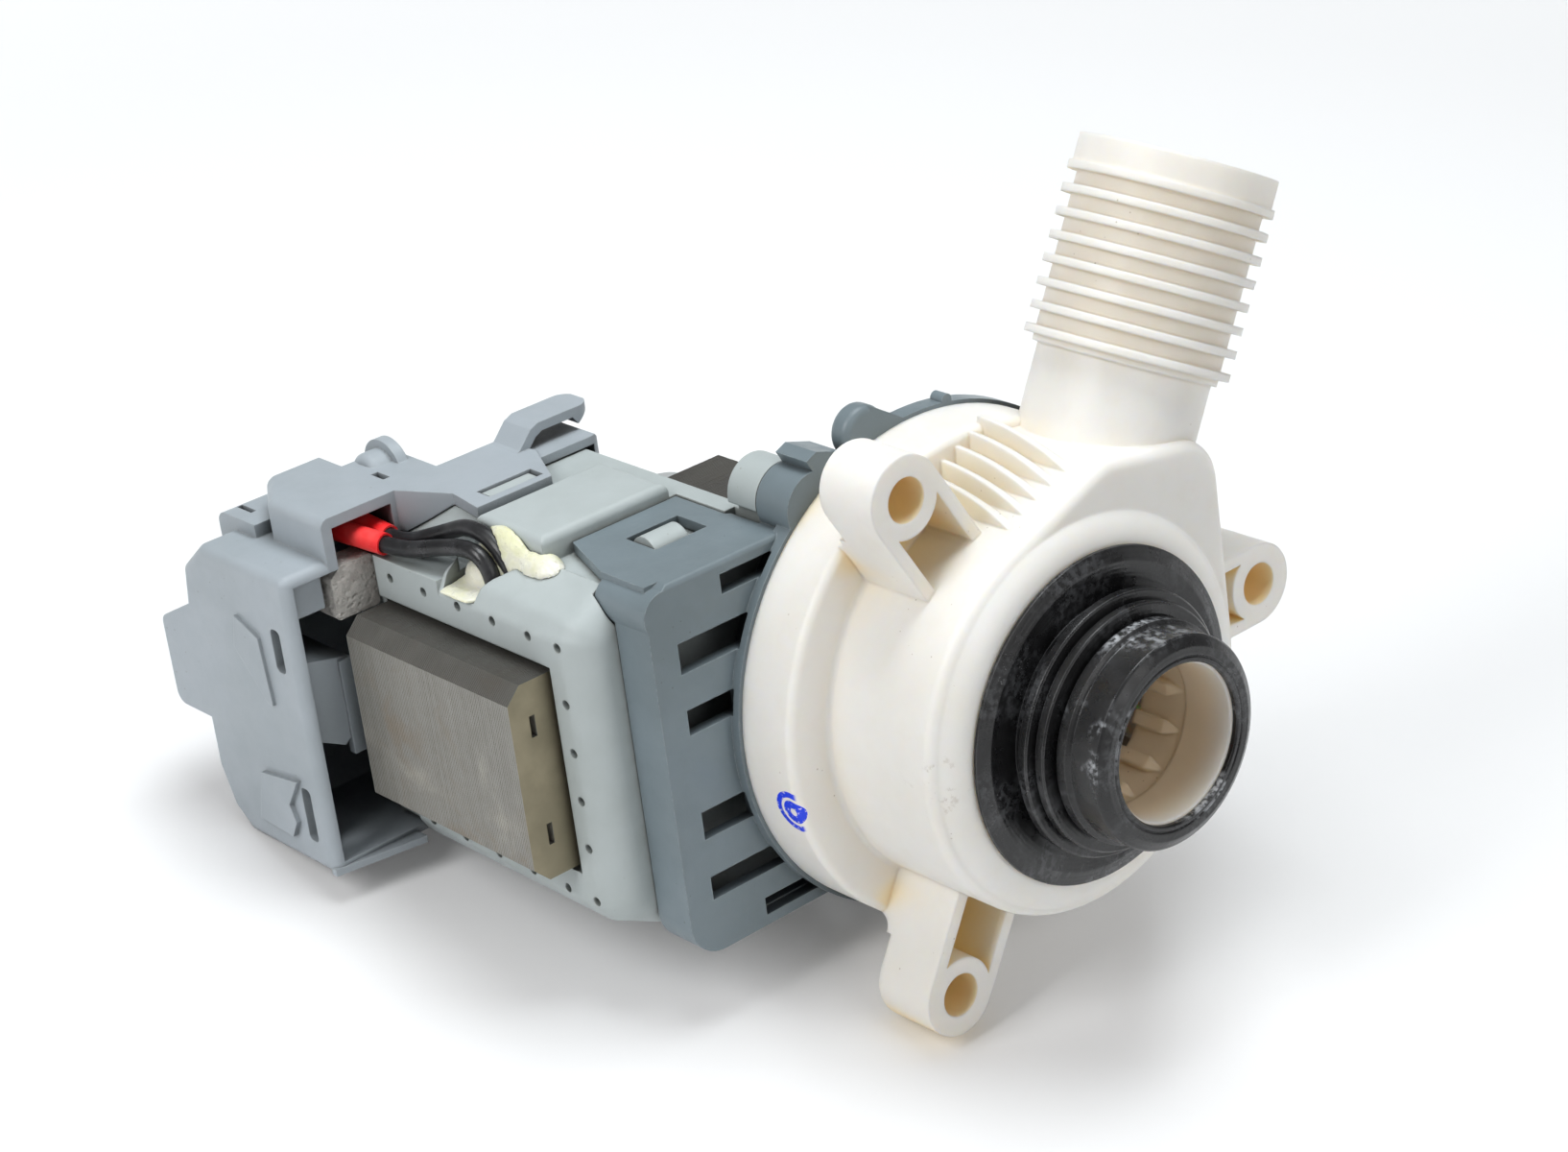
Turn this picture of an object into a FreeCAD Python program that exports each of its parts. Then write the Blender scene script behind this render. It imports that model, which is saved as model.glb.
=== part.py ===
import FreeCAD, Part
import math
import os

# A washing machine drain pump with a two-pole synchronous motor.
# Lengths are millimetres. +X runs along the pump axis towards the inlet, +Z is up,
# and the origin is the centre of the inlet mouth. The yoke of the motor is on the -Y side.

V = FreeCAD.Vector
X_AXIS = V(1, 0, 0)
Y_AXIS = V(0, 1, 0)
Z_AXIS = V(0, 0, 1)

# Clearances
press_gap = 0.02
running_fit = 0.06
seat_gap = 0.10
soft_gap = 0.30
loose_gap = 0.60

# Inlet and volute
inlet_bore_r = 14.0
spigot_wall = 2.0
spigot_len = 17.5
inlet_bore_len = 10.5
inlet_relief = 0.4
inlet_rib_count = 12
inlet_rib_first = 2.0
inlet_rib_w = 2.6
inlet_rib_h = 1.4
inlet_rib_taper = 3.6
front_wall = 3.5
barrel_r = 37.5
barrel_wall = 3.3
shoulder_r = 7.0
chamber_depth = 24.5
scroll_corner_y = 27.0
scroll_corner_z = 30.5
scroll_corner_r = 9.5
scroll_top_y = 10.0
scroll_top_z = 34.2
scroll_top_r = 9.0
scroll_setback = 2.4
scroll_edge_r = 2.2
rim_r = 46.25
rim_len = 12.5
rim_edge_r = 1.5
rim_wall = 4.5
rim_root_r = 1.0
scroll_rear_wall = 2.0
fin_count = 5
fin_pitch = 3.6
fin_root_t = 2.0
fin_tip_t = 0.9
fin_first_y = -8.6
fin_height = 4.8
fin_sink = 0.4
fin_front_x = -25.4
fin_bend_run = 0.42
fin_bend_rise = 0.66

# Mounting lugs
lug_count = 3
lug_circle_r = 54.95
lug_hole_r = 4.04
lug_half_w = 7.8
lug_front_x = -30.0
lug_len = 14.0
lug_wall = 2.3
lug_boss_r = 7.0
lug_pocket_depth = 11.0
lug_root_r = 3.0

# Outlet
outlet_tilt = 28.2
outlet_x = -38.0
outlet_y = 6.6
outlet_bore_r = 13.0
outlet_throat_r = 11.8
outlet_throat_end = 44.0
neck_r = 15.7
hose_core_r = 16.7
hose_rib_r = 18.55
hose_rib_w = 1.5
hose_rib_count = 8
hose_rib_pitch = 4.19
hose_first_rib = 58.0
hose_start = 56.0
hose_end = 93.1
hose_collar_r = 17.9

# Inlet seal
seal_flange_r = 30.4
seal_edge_t = 0.9
seal_bevel_r = 27.8
seal_bevel_t = 1.7
seal_ring_1_r = 23.9
seal_ring_1_x = 4.2
seal_ring_2_r = 22.2
seal_ring_2_x = 6.6
seal_ring_w = 1.7
seal_groove_r = 21.5
seal_throat_r = 18.6
seal_body_r = 20.0
seal_body_x = 9.3
seal_band_w = 1.9
seal_nose_r = 19.1
seal_nose_slope = 1.3
seal_front_r = 17.2
seal_line_r = 15.5
seal_edge = 0.3
seal_proud = 1.2
seal_lip_gap = 0.4

# Rotor can and its bearings
can_flange_recess = 0.4
can_bore_r = 14.4
can_wall = 1.2
can_end_t = 2.0
o_ring_d = 3.0
o_ring_groove_w = 3.4
shaft_r = 2.0
bearing_r = 5.0
bearing_len = 7.0
grommet_t = 1.9
holder_wall = 1.2
holder_flange_r = 18.0
holder_flange_t = 2.8
washer_t = 1.0
washer_r = 5.4

# Rotor and impeller
magnet_r = 13.2
magnet_len = 44.0
magnet_bore_r = 5.0
hub_end_r = 9.0
hub_end_t = 1.6
impeller_r = 24.5
impeller_disc_t = 1.8
blade_count = 6
blade_t = 2.0
blade_len = 21.0
impeller_hub_r = 9.0
hub_cavity_r = 6.8
dog_r = 3.4
dog_wing_r = 6.4
dog_wing_angle = 50.0
stop_angle = 50.0
damper_t = 1.2
cap_t = 2.0

# Stator core
core_front_x = -79.3
core_len = 48.2
core_half_h = 19.0
core_back_y = -79.0
core_tip_y = 10.0
core_yoke = 13.0
core_window = 8.0
core_chamfer = 3.0
interlock_y = 4.0
interlock_z = 10.5
interlock_w = 1.2
interlock_len = 4.1
interlock_depth = 1.0
pole_gap = 0.6

# Coils
bobbin_wall = 1.0
bobbin_flange_t = 1.2
coil_t = 5.2
coil_front_y = -62.5
coil_back_y = -21.0
bobbin_gap = 0.15

# Thermal protector
protector_x0 = -118.0
protector_x1 = -98.0
protector_y0 = -54.0
protector_y1 = -46.0
protector_z0 = 27.4
protector_z1 = 31.4

# Overmoulding
mould_front_x = -69.3
mould_step_x = -109.0
mould_tail_x = -128.5
mould_rear_x = -137.0
mould_near_y = -70.0
mould_shelf_y = -62.5
mould_slope_y = -57.0
mould_far_y = -25.0
mould_half_h = 28.3
mould_top_z = 35.4
mould_bevel_y = 2.0
mould_bevel_drop = 2.4
mould_bevel_rise = 1.0
mould_slope_run = 2.4
mould_slope_drop = 1.8
mould_slope_past = 1.6
mould_round_r = 3.0
mould_edge_r = 6.0
tail_half_h = 26.9
yoke_gap = 1.2
hump_x0 = -107.6
hump_x1 = -88.6
hump_y0 = -60.5
hump_y1 = -32.0
hump_top_z = 38.0
hump_edge_r = 1.6
notch_z = 26.5
notch_rear_x = -107.5
notch_rear_inner_x = -110.0
notch_front_x = -92.0
notch_corner_x = -97.0
notch_corner_y = -66.0
notch_mouth_x = -99.5
dot_r = 0.9
dot_depth = 1.2
dot_front_x = -75.0
dot_next_x = -83.2
dot_pitch = 10.2
dot_count = 5
dot_row_z = 24.8
dot_side_z = 14.0
dot_side_pitch = 9.4
key_x = -76.8
key_z = 33.1
key_r = 3.4
key_y0 = -47.5
key_y1 = -40.0
boss_front_x = -66.5
boss_rear_x = -74.0
boss_y = -24.0
boss_z = 38.2
boss_r = 6.3
tooth_x0 = -115.3
tooth_x1 = -112.1
tooth_y0 = -53.4
tooth_y1 = -42.8
tooth_top_z = 37.5

# Bracket
bracket_front_x = -60.0
bracket_depth = 9.0
bracket_wall = 2.3
bracket_near_y = -61.5
bracket_far_y = 26.0
bracket_top_z = 35.3
bracket_bottom_z = -36.0
bracket_disc_r = 47.0
bracket_disc_t = 3.6
bracket_open_r = 26.0
bracket_chamfer = 4.5
bracket_corner_r = 7.0
bracket_top_edge_r = 1.0
ear_r = 5.0
ear_len = 4.6
ear_y = -10.6
ear_z = 46.9
ear_edge_r = 1.5
ear_web_t = 3.0
ear_web_y = -1.4
bracket_ring_len = 9.0
bracket_ring_t = 2.2
bead_r = 4.4
bead_y = -57.6
bead_z = 30.2
bead_len = 13.5
tongue_t = 1.9
tongue_rear_x = -88.0
tongue_rear_y = -54.4
tongue_near_y = -59.3
tongue_neck_x = -74.0
tongue_far_y = -31.0
tongue_root_y = -28.5
window_x0 = -81.2
window_x1 = -73.0
window_y0 = -48.0
window_y1 = -36.3
knuckle_r = 6.4
knuckle_rear_x = -66.2
lip_rear_x = -66.0
lip_y = -22.4
lip_top_z = 47.8
vent_near_y = -55.8
vent_mid_y = -44.3
vent_inner_y = -36.0
vent_end_y = -29.5

# Rear cover
cover_mouth_x = -129.5
cover_wall = 2.2
cover_near_y = -89.0
cover_far_y = -51.2
cover_half_h = 30.0
cover_rear_x = -166.0
cover_back_z0 = -18.0
cover_back_z1 = 16.0
cover_edge_r = 1.8
cover_lip_x = -126.4
cover_lip_y = -70.4
socket_rear_x = -176.0
socket_z0 = -7.5
socket_z1 = 12.0
socket_far_y = -67.5
socket_edge_r = 2.5
wire_box_rear_x = -155.0
wire_box_y0 = -79.0
wire_box_y1 = -61.6
wire_box_top_z = 38.0
wire_box_cut_x = 8.5
wire_box_cut_y = 5.5
roof_rear_x = -147.5
roof_hole_x = -137.4
roof_hole_y = -60.0
back_hump_x = -162.5
back_hump_y0 = -80.5
back_hump_y1 = -62.0
back_hump_top_z = 32.6
tab_x = -144.6
tab_z = 35.4
tab_r = 6.0
tab_y = -54.6
tab_t = 2.2
tab_root_r = 4.4
tab_root_len = 4.4
arm_rear_x = -132.0
arm_bend_x = -119.2
arm_front_x = -109.7
arm_y0 = -57.1
arm_front_y0 = -58.5
arm_front_y1 = -41.7
arm_corner_x = -122.0
arm_y1 = -35.8
arm_rear_y1 = -37.9
hook_x0 = -131.5
hook_x1 = -123.5
hook_root_y = -39.0
hook_bend_y = -33.4
hook_end_y = -20.9
hook_top_z = 42.2
hook_t = 1.8
clip_x0 = -131.0
clip_x1 = -119.2
clip_t = 1.7
clip_drop_t = 2.2
clip_low_z = 32.2
clip_corner_r = 3.0
baffle_x0 = -133.5
baffle_x1 = -131.5
baffle_y1 = -79.8
baffle_z0 = 20.8
side_slot_x0 = -136.6
side_slot_x1 = -133.6
side_slot_zs = [(10.3, 19.0), (-24.4, -13.4)]
latch_x0 = -151.8
latch_x1 = -136.0
latch_nose_x = -140.2
latch_z0 = -25.0
latch_z1 = -12.0
wing_x0 = -149.5
wing_x1 = -139.5
wing_z0 = 2.6
wing_z1 = 18.8

# Terminals
carrier_x0 = -162.0
carrier_x1 = -132.5
carrier_y0 = -86.4
carrier_y1 = -76.2
carrier_z0 = -4.0
carrier_z1 = 11.8
carrier_foot_z = -9.4
carrier_slot_x = -149.5
blade_rear_x = -173.0
blade_y0 = -83.8
blade_y1 = -79.0
blade_t_half = 0.4
blade_zs = (-1.6, 5.6)

# Pad
pad_x0 = -135.5
pad_x1 = -129.9
pad_y0 = -78.6
pad_y1 = -69.2
pad_z0 = 18.0
pad_top_z = 28.1

# Leads and sealing compound
lead_d = 3.1
sleeve_d = 4.1
sleeve_gap = 0.12
lead_paths = [
    [V(-148.0, -73.3, 32.2), V(-119.5, -68.6, 31.0), V(-112.0, -66.9, 32.8), V(-106.0, -65.7, 34.0),
     V(-101.8, -65.2, 33.8), V(-99.4, -64.9, 31.4), V(-98.6, -64.8, 28.0)],
    [V(-151.0, -67.3, 33.1), V(-124.0, -65.7, 30.1), V(-115.4, -63.4, 33.3), V(-108.7, -62.4, 36.0),
     V(-103.9, -62.3, 36.2), V(-99.6, -62.3, 34.6), V(-96.8, -62.2, 31.2), V(-96.3, -62.2, 28.0)]]
sleeve_ends_x = [(-147.0, -124.5), (-150.0, -128.2)]
potting_top_z = 27.4
potting_lumps = [(V(-98.8, -60.8, 29.5), (8.6, 3.2, 8.6)), (V(-90.0, -60.3, 31.0), (7.0, 3.4, 4.4)),
                 (V(-103.5, -62.0, 28.0), (5.5, 4.0, 3.6)), (V(-96.0, -63.5, 27.0), (4.5, 3.5, 2.6))]


def box(x0, x1, y0, y1, z0, z1):
    """Block between two corners, given in any order."""
    xs, ys, zs = sorted((x0, x1)), sorted((y0, y1)), sorted((z0, z1))
    return Part.makeBox(xs[1] - xs[0], ys[1] - ys[0], zs[1] - zs[0], V(xs[0], ys[0], zs[0]))


def rod(x0, x1, r, y=0.0, z=0.0):
    """Cylinder along X."""
    a, b = sorted((x0, x1))
    return Part.makeCylinder(r, b - a, V(a, y, z), X_AXIS)


def tube(x0, x1, r_out, r_in):
    """Hollow cylinder along X."""
    return rod(x0, x1, r_out).cut(rod(min(x0, x1) - 1, max(x0, x1) + 1, r_in))


def prism(points, axis, start, end):
    """Solid with a polygon section, pushed from start to end along one axis.

    Points are (y, z) for X, (x, z) for Y and (x, y) for Z.
    """
    place = {"X": lambda a, b: V(start, a, b), "Y": lambda a, b: V(a, start, b),
             "Z": lambda a, b: V(a, b, start)}
    way = {"X": X_AXIS, "Y": Y_AXIS, "Z": Z_AXIS}[axis] * (end - start)
    corners = [place[axis](a, b) for a, b in points]
    return Part.Face(Part.makePolygon(corners + corners[:1])).extrude(way)


def turned(points):
    """Solid turned about the pump axis from (x, r) points; a third number rounds that corner."""
    count = len(points)
    edges = []
    starts, ends, arcs = [], [], []
    for i in range(count):
        here = V(points[i][0], 0, points[i][1])
        r = points[i][2] if len(points[i]) > 2 else 0
        if r:
            back = (V(points[i - 1][0], 0, points[i - 1][1]) - here).normalize()
            ahead = (V(points[(i + 1) % count][0], 0, points[(i + 1) % count][1]) - here).normalize()
            half = math.acos(back.dot(ahead)) / 2
            run = r / math.tan(half)
            middle = here + (back + ahead).normalize() * (r / math.sin(half) - r)
            starts.append(here + back * run)
            ends.append(here + ahead * run)
            arcs.append(Part.Arc(starts[-1], middle, ends[-1]).toShape())
        else:
            starts.append(here)
            ends.append(here)
            arcs.append(None)
    for i in range(count):
        if arcs[i]:
            edges.append(arcs[i])
        edges.append(Part.LineSegment(ends[i], starts[(i + 1) % count]).toShape())
    return Part.Face(Part.Wire(edges)).revolve(V(0, 0, 0), X_AXIS, 360)


def fuse(*solids):
    """One clean solid from overlapping solids."""
    return solids[0].multiFuse(list(solids[1:])).removeSplitter()


def rounded(solid, r, test):
    """Round the edges whose two ends both pass the test."""
    edges = [e for e in solid.Edges if len(e.Vertexes) == 2 and all(test(v.Point) for v in e.Vertexes)]
    return solid.makeFillet(r, edges)


def along(solid, axis, r):
    """Round every straight edge that runs along one axis."""
    way = {"X": X_AXIS, "Y": Y_AXIS, "Z": Z_AXIS}[axis]
    edges = []
    for e in solid.Edges:
        if len(e.Vertexes) == 2 and e.Length > 0.01:
            d = e.Vertexes[1].Point - e.Vertexes[0].Point
            if d.Length > 0.01 and abs(abs(d.normalize().dot(way)) - 1) < 1e-6:
                edges.append(e)
    return solid.makeFillet(r, edges)


def outer_tangent(first, second, x):
    """Ends of the tangent on the right-hand side from one circle (y, z, r) to the next, and its turn."""
    y0, z0, r0 = first
    y1, z1, r1 = second
    gap = math.hypot(y1 - y0, z1 - z0)
    turn = math.atan2(z1 - z0, y1 - y0) - math.acos((r0 - r1) / gap)
    n = (math.cos(turn), math.sin(turn))
    return V(x, y0 + r0 * n[0], z0 + r0 * n[1]), V(x, y1 + r1 * n[0], z1 + r1 * n[1]), turn


def hull_face(circles, x):
    """Face round several circles (y, z, r), listed anticlockwise, joined by their outer tangents."""
    tangents = [outer_tangent(c, circles[(i + 1) % len(circles)], x) for i, c in enumerate(circles)]
    edges = []
    for i, (y0, z0, r0) in enumerate(circles):
        before, after = tangents[i - 1], tangents[i]
        turn = (before[2] + ((after[2] - before[2]) % (2 * math.pi)) / 2)
        middle = V(x, y0 + r0 * math.cos(turn), z0 + r0 * math.sin(turn))
        edges.append(Part.Arc(before[1], middle, after[0]).toShape())
        edges.append(Part.LineSegment(after[0], after[1]).toShape())
    return Part.Face(Part.Wire(edges))


def largest(shape):
    """The biggest solid of a shape."""
    return max(shape.Solids, key=lambda solid: solid.Volume)


def swept_tube(points, radius_of_tube, name=""):
    """Round cord of straight runs joined by tangent arcs, with its volume checked."""
    edges = []
    radii = []
    start = points[0]
    for i in range(1, len(points) - 1):
        before = (points[i] - points[i - 1])
        after = (points[i + 1] - points[i])
        run = min(before.Length, after.Length)
        a, b = V(before).normalize(), V(after).normalize()
        half = math.acos(max(-1.0, min(1.0, a.dot(b)))) / 2
        cut = 0.45 * run
        arc_r = cut / math.tan(half)
        radii.append(arc_r)
        p, q = points[i] - a * cut, points[i] + b * cut
        inward = V(b - a).normalize()
        centre = points[i] + inward * (arc_r / math.cos(half))
        middle = centre - inward * arc_r
        edges.append(Part.LineSegment(start, p).toShape())
        edges.append(Part.Arc(p, middle, q).toShape())
        start = q
    edges.append(Part.LineSegment(start, points[-1]).toShape())
    path = Part.Wire(edges)
    way = V(points[1] - points[0]).normalize()
    section = Part.Wire([Part.makeCircle(radius_of_tube, points[0], way)])
    solid = path.makePipeShell([section], True, False)
    ideal = math.pi * radius_of_tube ** 2 * path.Length
    if name:
        print(name, "length %.1f" % path.Length, "volume ratio %.4f" % (solid.Volume / ideal),
              "least radius %.1f" % min(radii))
    return solid


# Places worked out from the driving sizes
volute_front_x = -spigot_len
chamber_front_x = volute_front_x - front_wall
rim_front_x = chamber_front_x - chamber_depth
seat_x = rim_front_x - rim_wall
volute_rear_x = rim_front_x - rim_len
chamber_r = barrel_r - barrel_wall
seat_r = rim_r - 5.85
can_front_x = seat_x - seat_gap
can_r = can_bore_r + can_wall
pole_r = can_r + pole_gap
core_rear_x = core_front_x - core_len
leg_z0 = core_window
bobbin_out = bobbin_gap + bobbin_wall
coil_out = bobbin_out + coil_t
groove_x = (can_front_x + volute_rear_x) / 2
magnet_front_x = core_front_x - (core_len - magnet_len) / 2 + 2.0
magnet_rear_x = magnet_front_x - magnet_len
hub_front_x = magnet_front_x + hub_end_t
hub_rear_x = magnet_rear_x - hub_end_t
front_washer_x = hub_front_x + soft_gap
front_bearing_x = front_washer_x + washer_t + soft_gap
rear_washer_x = hub_rear_x - soft_gap
rear_bearing_x = rear_washer_x - washer_t - soft_gap
can_rear_x = rear_bearing_x - bearing_len - grommet_t - can_end_t
impeller_back_x = can_front_x + 1.2
blade_front_x = impeller_back_x + impeller_disc_t + blade_len
cavity_rear_x = impeller_back_x + cap_t
cavity_front_x = blade_front_x - 6.0
shaft_front_x = cavity_front_x + 2.6
dog_front_x = cavity_front_x - soft_gap
dog_rear_x = cavity_rear_x + damper_t + 2 * soft_gap
outlet_way = V(0, math.sin(math.radians(outlet_tilt)), math.cos(math.radians(outlet_tilt)))
outlet_foot = V(outlet_x, outlet_y, 0)


def on_outlet(s):
    """Point on the outlet's centreline, s along it from the height of the pump axis."""
    return outlet_foot + outlet_way * s


def outlet_rod(s0, s1, r):
    return Part.makeCylinder(r, s1 - s0, on_outlet(s0), outlet_way)


def scroll_circles(inset):
    """Circles whose hull is the volute's outline, drawn in by a wall."""
    return [(0.0, 0.0, barrel_r - inset),
            (scroll_corner_y, scroll_corner_z, scroll_corner_r - inset),
            (scroll_top_y, scroll_top_z, scroll_top_r - inset)]


def make_lug(angle):
    """Lug pointing along +Y before it is turned: round end, boss, hole and pocket."""
    rear_x = lug_front_x - lug_len
    body = fuse(box(lug_front_x, rear_x, barrel_r - 4, lug_circle_r, -lug_half_w, lug_half_w),
                rod(lug_front_x, rear_x, lug_half_w, lug_circle_r))
    body = rounded(body, 2.0, lambda p: abs(p.x - rear_x) < 1e-6 and p.y > barrel_r)
    top = math.sqrt(rim_r ** 2 - lug_half_w ** 2)
    foot = [V(rear_x + 4, barrel_r - 4, -lug_half_w), V(rear_x + 4, top + lug_root_r, -lug_half_w),
            V(rear_x, top + lug_root_r, -lug_half_w), V(rear_x - lug_root_r, top, -lug_half_w),
            V(volute_rear_x + 4, top, -lug_half_w), V(volute_rear_x + 4, barrel_r - 4, -lug_half_w)]
    centre = V(rear_x - lug_root_r, top + lug_root_r, -lug_half_w)
    middle = centre + V(1, -1, 0).normalize() * lug_root_r
    sides = [Part.LineSegment(foot[i], foot[(i + 1) % 6]).toShape() for i in range(6) if i != 2]
    sides.insert(2, Part.Arc(foot[2], middle, foot[3]).toShape())
    web = Part.Face(Part.Wire(sides)).extrude(V(0, 0, 2 * lug_half_w))
    inner = lug_half_w - lug_wall
    pocket = box(lug_front_x + 1, lug_front_x - lug_pocket_depth, barrel_r - 0.2, lug_circle_r,
                 -inner, inner)
    pocket = pocket.cut(rod(lug_front_x + 2, rear_x, lug_boss_r, lug_circle_r))
    body = body.fuse(web).cut(pocket)
    body = body.cut(rod(lug_front_x + 1, volute_rear_x - 1, lug_hole_r, lug_circle_r))
    body.rotate(V(0, 0, 0), X_AXIS, angle)
    return body


def make_fin(y, skin_z):
    """Gusset from the scroll's flat top to the rim, with a rounded back and a taper to its edge."""
    rear_x = rim_front_x - rim_edge_r
    foot_z = skin_z - 2 * fin_sink
    top_z = skin_z + fin_height
    run = rear_x - fin_front_x
    ends = [V(fin_front_x, y, skin_z - fin_sink), V(rear_x, y, top_z)]
    bend = V(fin_front_x + fin_bend_run * run, y, skin_z - fin_sink + fin_bend_rise * (fin_height + fin_sink))
    corners = [ends[1], V(rear_x, y, foot_z), V(fin_front_x, y, foot_z), ends[0]]
    edges = [Part.Arc(ends[0], bend, ends[1]).toShape()]
    edges += [Part.LineSegment(a, b).toShape() for a, b in zip(corners, corners[1:])]
    side = Part.Face(Part.Wire(edges))
    side.translate(V(0, -fin_root_t, 0))
    blade = side.extrude(V(0, 2 * fin_root_t, 0))
    half, tip = fin_root_t / 2, fin_tip_t / 2
    taper = [(y - half, foot_z), (y - tip, top_z), (y + tip, top_z), (y + half, foot_z)]
    return blade.common(prism(taper, "X", rear_x, fin_front_x))


def make_inlet_rib(angle):
    """Flow rib on the wall of the inlet, with a pointed front that rises out of the wall."""
    front, full, rear = -inlet_bore_len, -inlet_bore_len - inlet_rib_taper, chamber_front_x
    top = inlet_bore_r + inlet_relief - inlet_rib_h
    foot = inlet_bore_r + 2 * inlet_relief
    half = inlet_rib_w / 2
    rib = prism([(front, 0), (full, half), (rear, half), (rear, -half), (full, -half)], "Z", top, foot)
    rib = rib.common(prism([(front, foot), (full, top), (rear, top), (rear, foot)], "Y", -half, half))
    rib.rotate(V(0, 0, 0), X_AXIS, angle)
    return rib


def make_volute():
    barrel = turned([(volute_front_x, 0), (volute_front_x, barrel_r, shoulder_r),
                     (rim_front_x, barrel_r, rim_root_r),
                     (rim_front_x, rim_r, rim_edge_r),
                     (volute_rear_x, rim_r), (volute_rear_x, 0)])
    scroll_front_x = volute_front_x - scroll_setback
    scroll = hull_face(scroll_circles(0), scroll_front_x).extrude(V(seat_x - scroll_front_x, 0, 0))
    front_edges = [e for e in scroll.Edges if e.BoundBox.XMin > scroll_front_x - 0.01]
    scroll = scroll.makeFillet(scroll_edge_r, front_edges)
    spigot = rod(0, volute_front_x - 1, inlet_bore_r + spigot_wall)
    pipe = [outlet_rod(0, hose_start + 1, neck_r), outlet_rod(hose_start, hose_end, hose_core_r)]
    for i in range(hose_rib_count):
        s = hose_first_rib + i * hose_rib_pitch
        pipe.append(outlet_rod(s - hose_rib_w / 2, s + hose_rib_w / 2, hose_rib_r))
    last = hose_first_rib + (hose_rib_count - 1) * hose_rib_pitch
    pipe.append(outlet_rod(last, hose_end, hose_collar_r))
    high, low, turn = outer_tangent(scroll_circles(0)[2], scroll_circles(0)[0], 0)
    rise = (high.z - low.z) / (high.y - low.y)
    fin_ys = [fin_first_y + i * fin_pitch for i in range(fin_count)]
    fins = [make_fin(y, low.z + rise * (y - low.y)) for y in fin_ys]
    lugs = [make_lug(360.0 / lug_count * i) for i in range(lug_count)]
    body = barrel.multiFuse([scroll, spigot] + pipe + fins + lugs)
    chamber = rod(chamber_front_x, seat_x - 1, chamber_r)
    spiral_front_x = chamber_front_x - 2
    spiral_rear_x = seat_x + scroll_rear_wall
    spiral = hull_face(scroll_circles(barrel_wall), spiral_front_x)
    spiral = spiral.extrude(V(spiral_rear_x - spiral_front_x, 0, 0))
    seat = rod(seat_x, volute_rear_x - 1, seat_r)
    bore = rod(1, chamber_front_x - 1, inlet_bore_r)
    relief = rod(-inlet_bore_len, chamber_front_x - 1, inlet_bore_r + inlet_relief)
    ribs = [make_inlet_rib(inlet_rib_first + 360.0 / inlet_rib_count * i) for i in range(inlet_rib_count)]
    throat = outlet_rod(0, hose_end, outlet_throat_r)
    outlet_bore = outlet_rod(outlet_throat_end, hose_end + 1, outlet_bore_r)
    return body.cut([chamber, spiral, seat, bore, relief, throat, outlet_bore]).multiFuse(ribs)


def make_inlet_seal():
    """Stepped rubber sleeve over the spigot, with a wide flange against the volute."""
    inner = inlet_bore_r + spigot_wall + seat_gap
    back = volute_front_x + seat_gap
    lip = inlet_bore_r + seal_lip_gap
    nose = seal_proud - back
    edge = seal_edge
    flange = [(0, inner), (0, seal_flange_r - edge), (edge, seal_flange_r), (seal_edge_t, seal_flange_r),
              (seal_bevel_t, seal_bevel_r), (seal_edge_t + edge, seal_ring_1_r + edge),
              (seal_edge_t + edge, seal_groove_r)]
    rings = []
    steps = [(seal_ring_1_x, seal_ring_1_r, seal_groove_r), (seal_ring_2_x, seal_ring_2_r, seal_throat_r)]
    for x, r, foot_r in steps:
        rings += [(x - edge, seal_groove_r), (x - edge, r - edge), (x, r), (x + seal_ring_w - edge, r),
                  (x + seal_ring_w, r - edge), (x + seal_ring_w, foot_r)]
    x, r = seal_body_x, seal_body_r
    band_end = x + seal_band_w
    body = [(x - edge, seal_throat_r), (x - edge, r - edge), (x, r), (band_end, r),
            (band_end + edge, r - 2 * edge), (band_end + 2 * edge, seal_nose_r)]
    front = [(nose - seal_nose_slope, seal_nose_r), (nose - 0.7 * seal_nose_slope, seal_nose_r - edge),
             (nose - edge / 2, seal_front_r + edge), (nose, seal_front_r), (nose, seal_line_r + edge),
             (nose - edge, seal_line_r), (nose, seal_line_r - edge), (nose, lip + edge), (nose - edge, lip)]
    points = [(back + x, r) for x, r in flange + rings + body + front]
    return turned(points + [(seat_gap, lip), (seat_gap, inner)])


def make_rotor_can():
    """Sealed cup for the rotor, with the flange that closes the pump chamber."""
    rear_seat = rear_bearing_x - bearing_len
    flange = rod(can_front_x, volute_rear_x, seat_r - can_flange_recess)
    groove = tube(groove_x - o_ring_groove_w / 2, groove_x + o_ring_groove_w / 2, seat_r,
                  seat_r - o_ring_d - 0.1)
    body = fuse(flange, rod(volute_rear_x, can_rear_x, can_r)).cut(groove)
    body = body.cut(rod(can_front_x + 1, rear_bearing_x - 0.4, can_bore_r))
    body = body.cut(rod(can_front_x + 1, can_front_x - holder_flange_t - seat_gap,
                        holder_flange_r + seat_gap))
    pocket = rod(rear_bearing_x, rear_seat - grommet_t, bearing_r + grommet_t + seat_gap)
    return body.cut(pocket)


def make_bearing_holder():
    """Carrier of the front bearing, pushed into the mouth of the can."""
    back = front_bearing_x
    flange = rod(can_front_x, can_front_x - holder_flange_t, holder_flange_r)
    plug = rod(can_front_x - holder_flange_t, can_front_x - holder_flange_t - 6, can_bore_r - seat_gap)
    pocket_r = bearing_r + grommet_t + seat_gap
    hub = rod(can_front_x - holder_flange_t, back, pocket_r + holder_wall)
    pocket = rod(back - 1, back + bearing_len + grommet_t, pocket_r)
    return fuse(flange, plug, hub).cut(pocket).cut(rod(can_front_x + 1, back, shaft_r + loose_gap))


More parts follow.
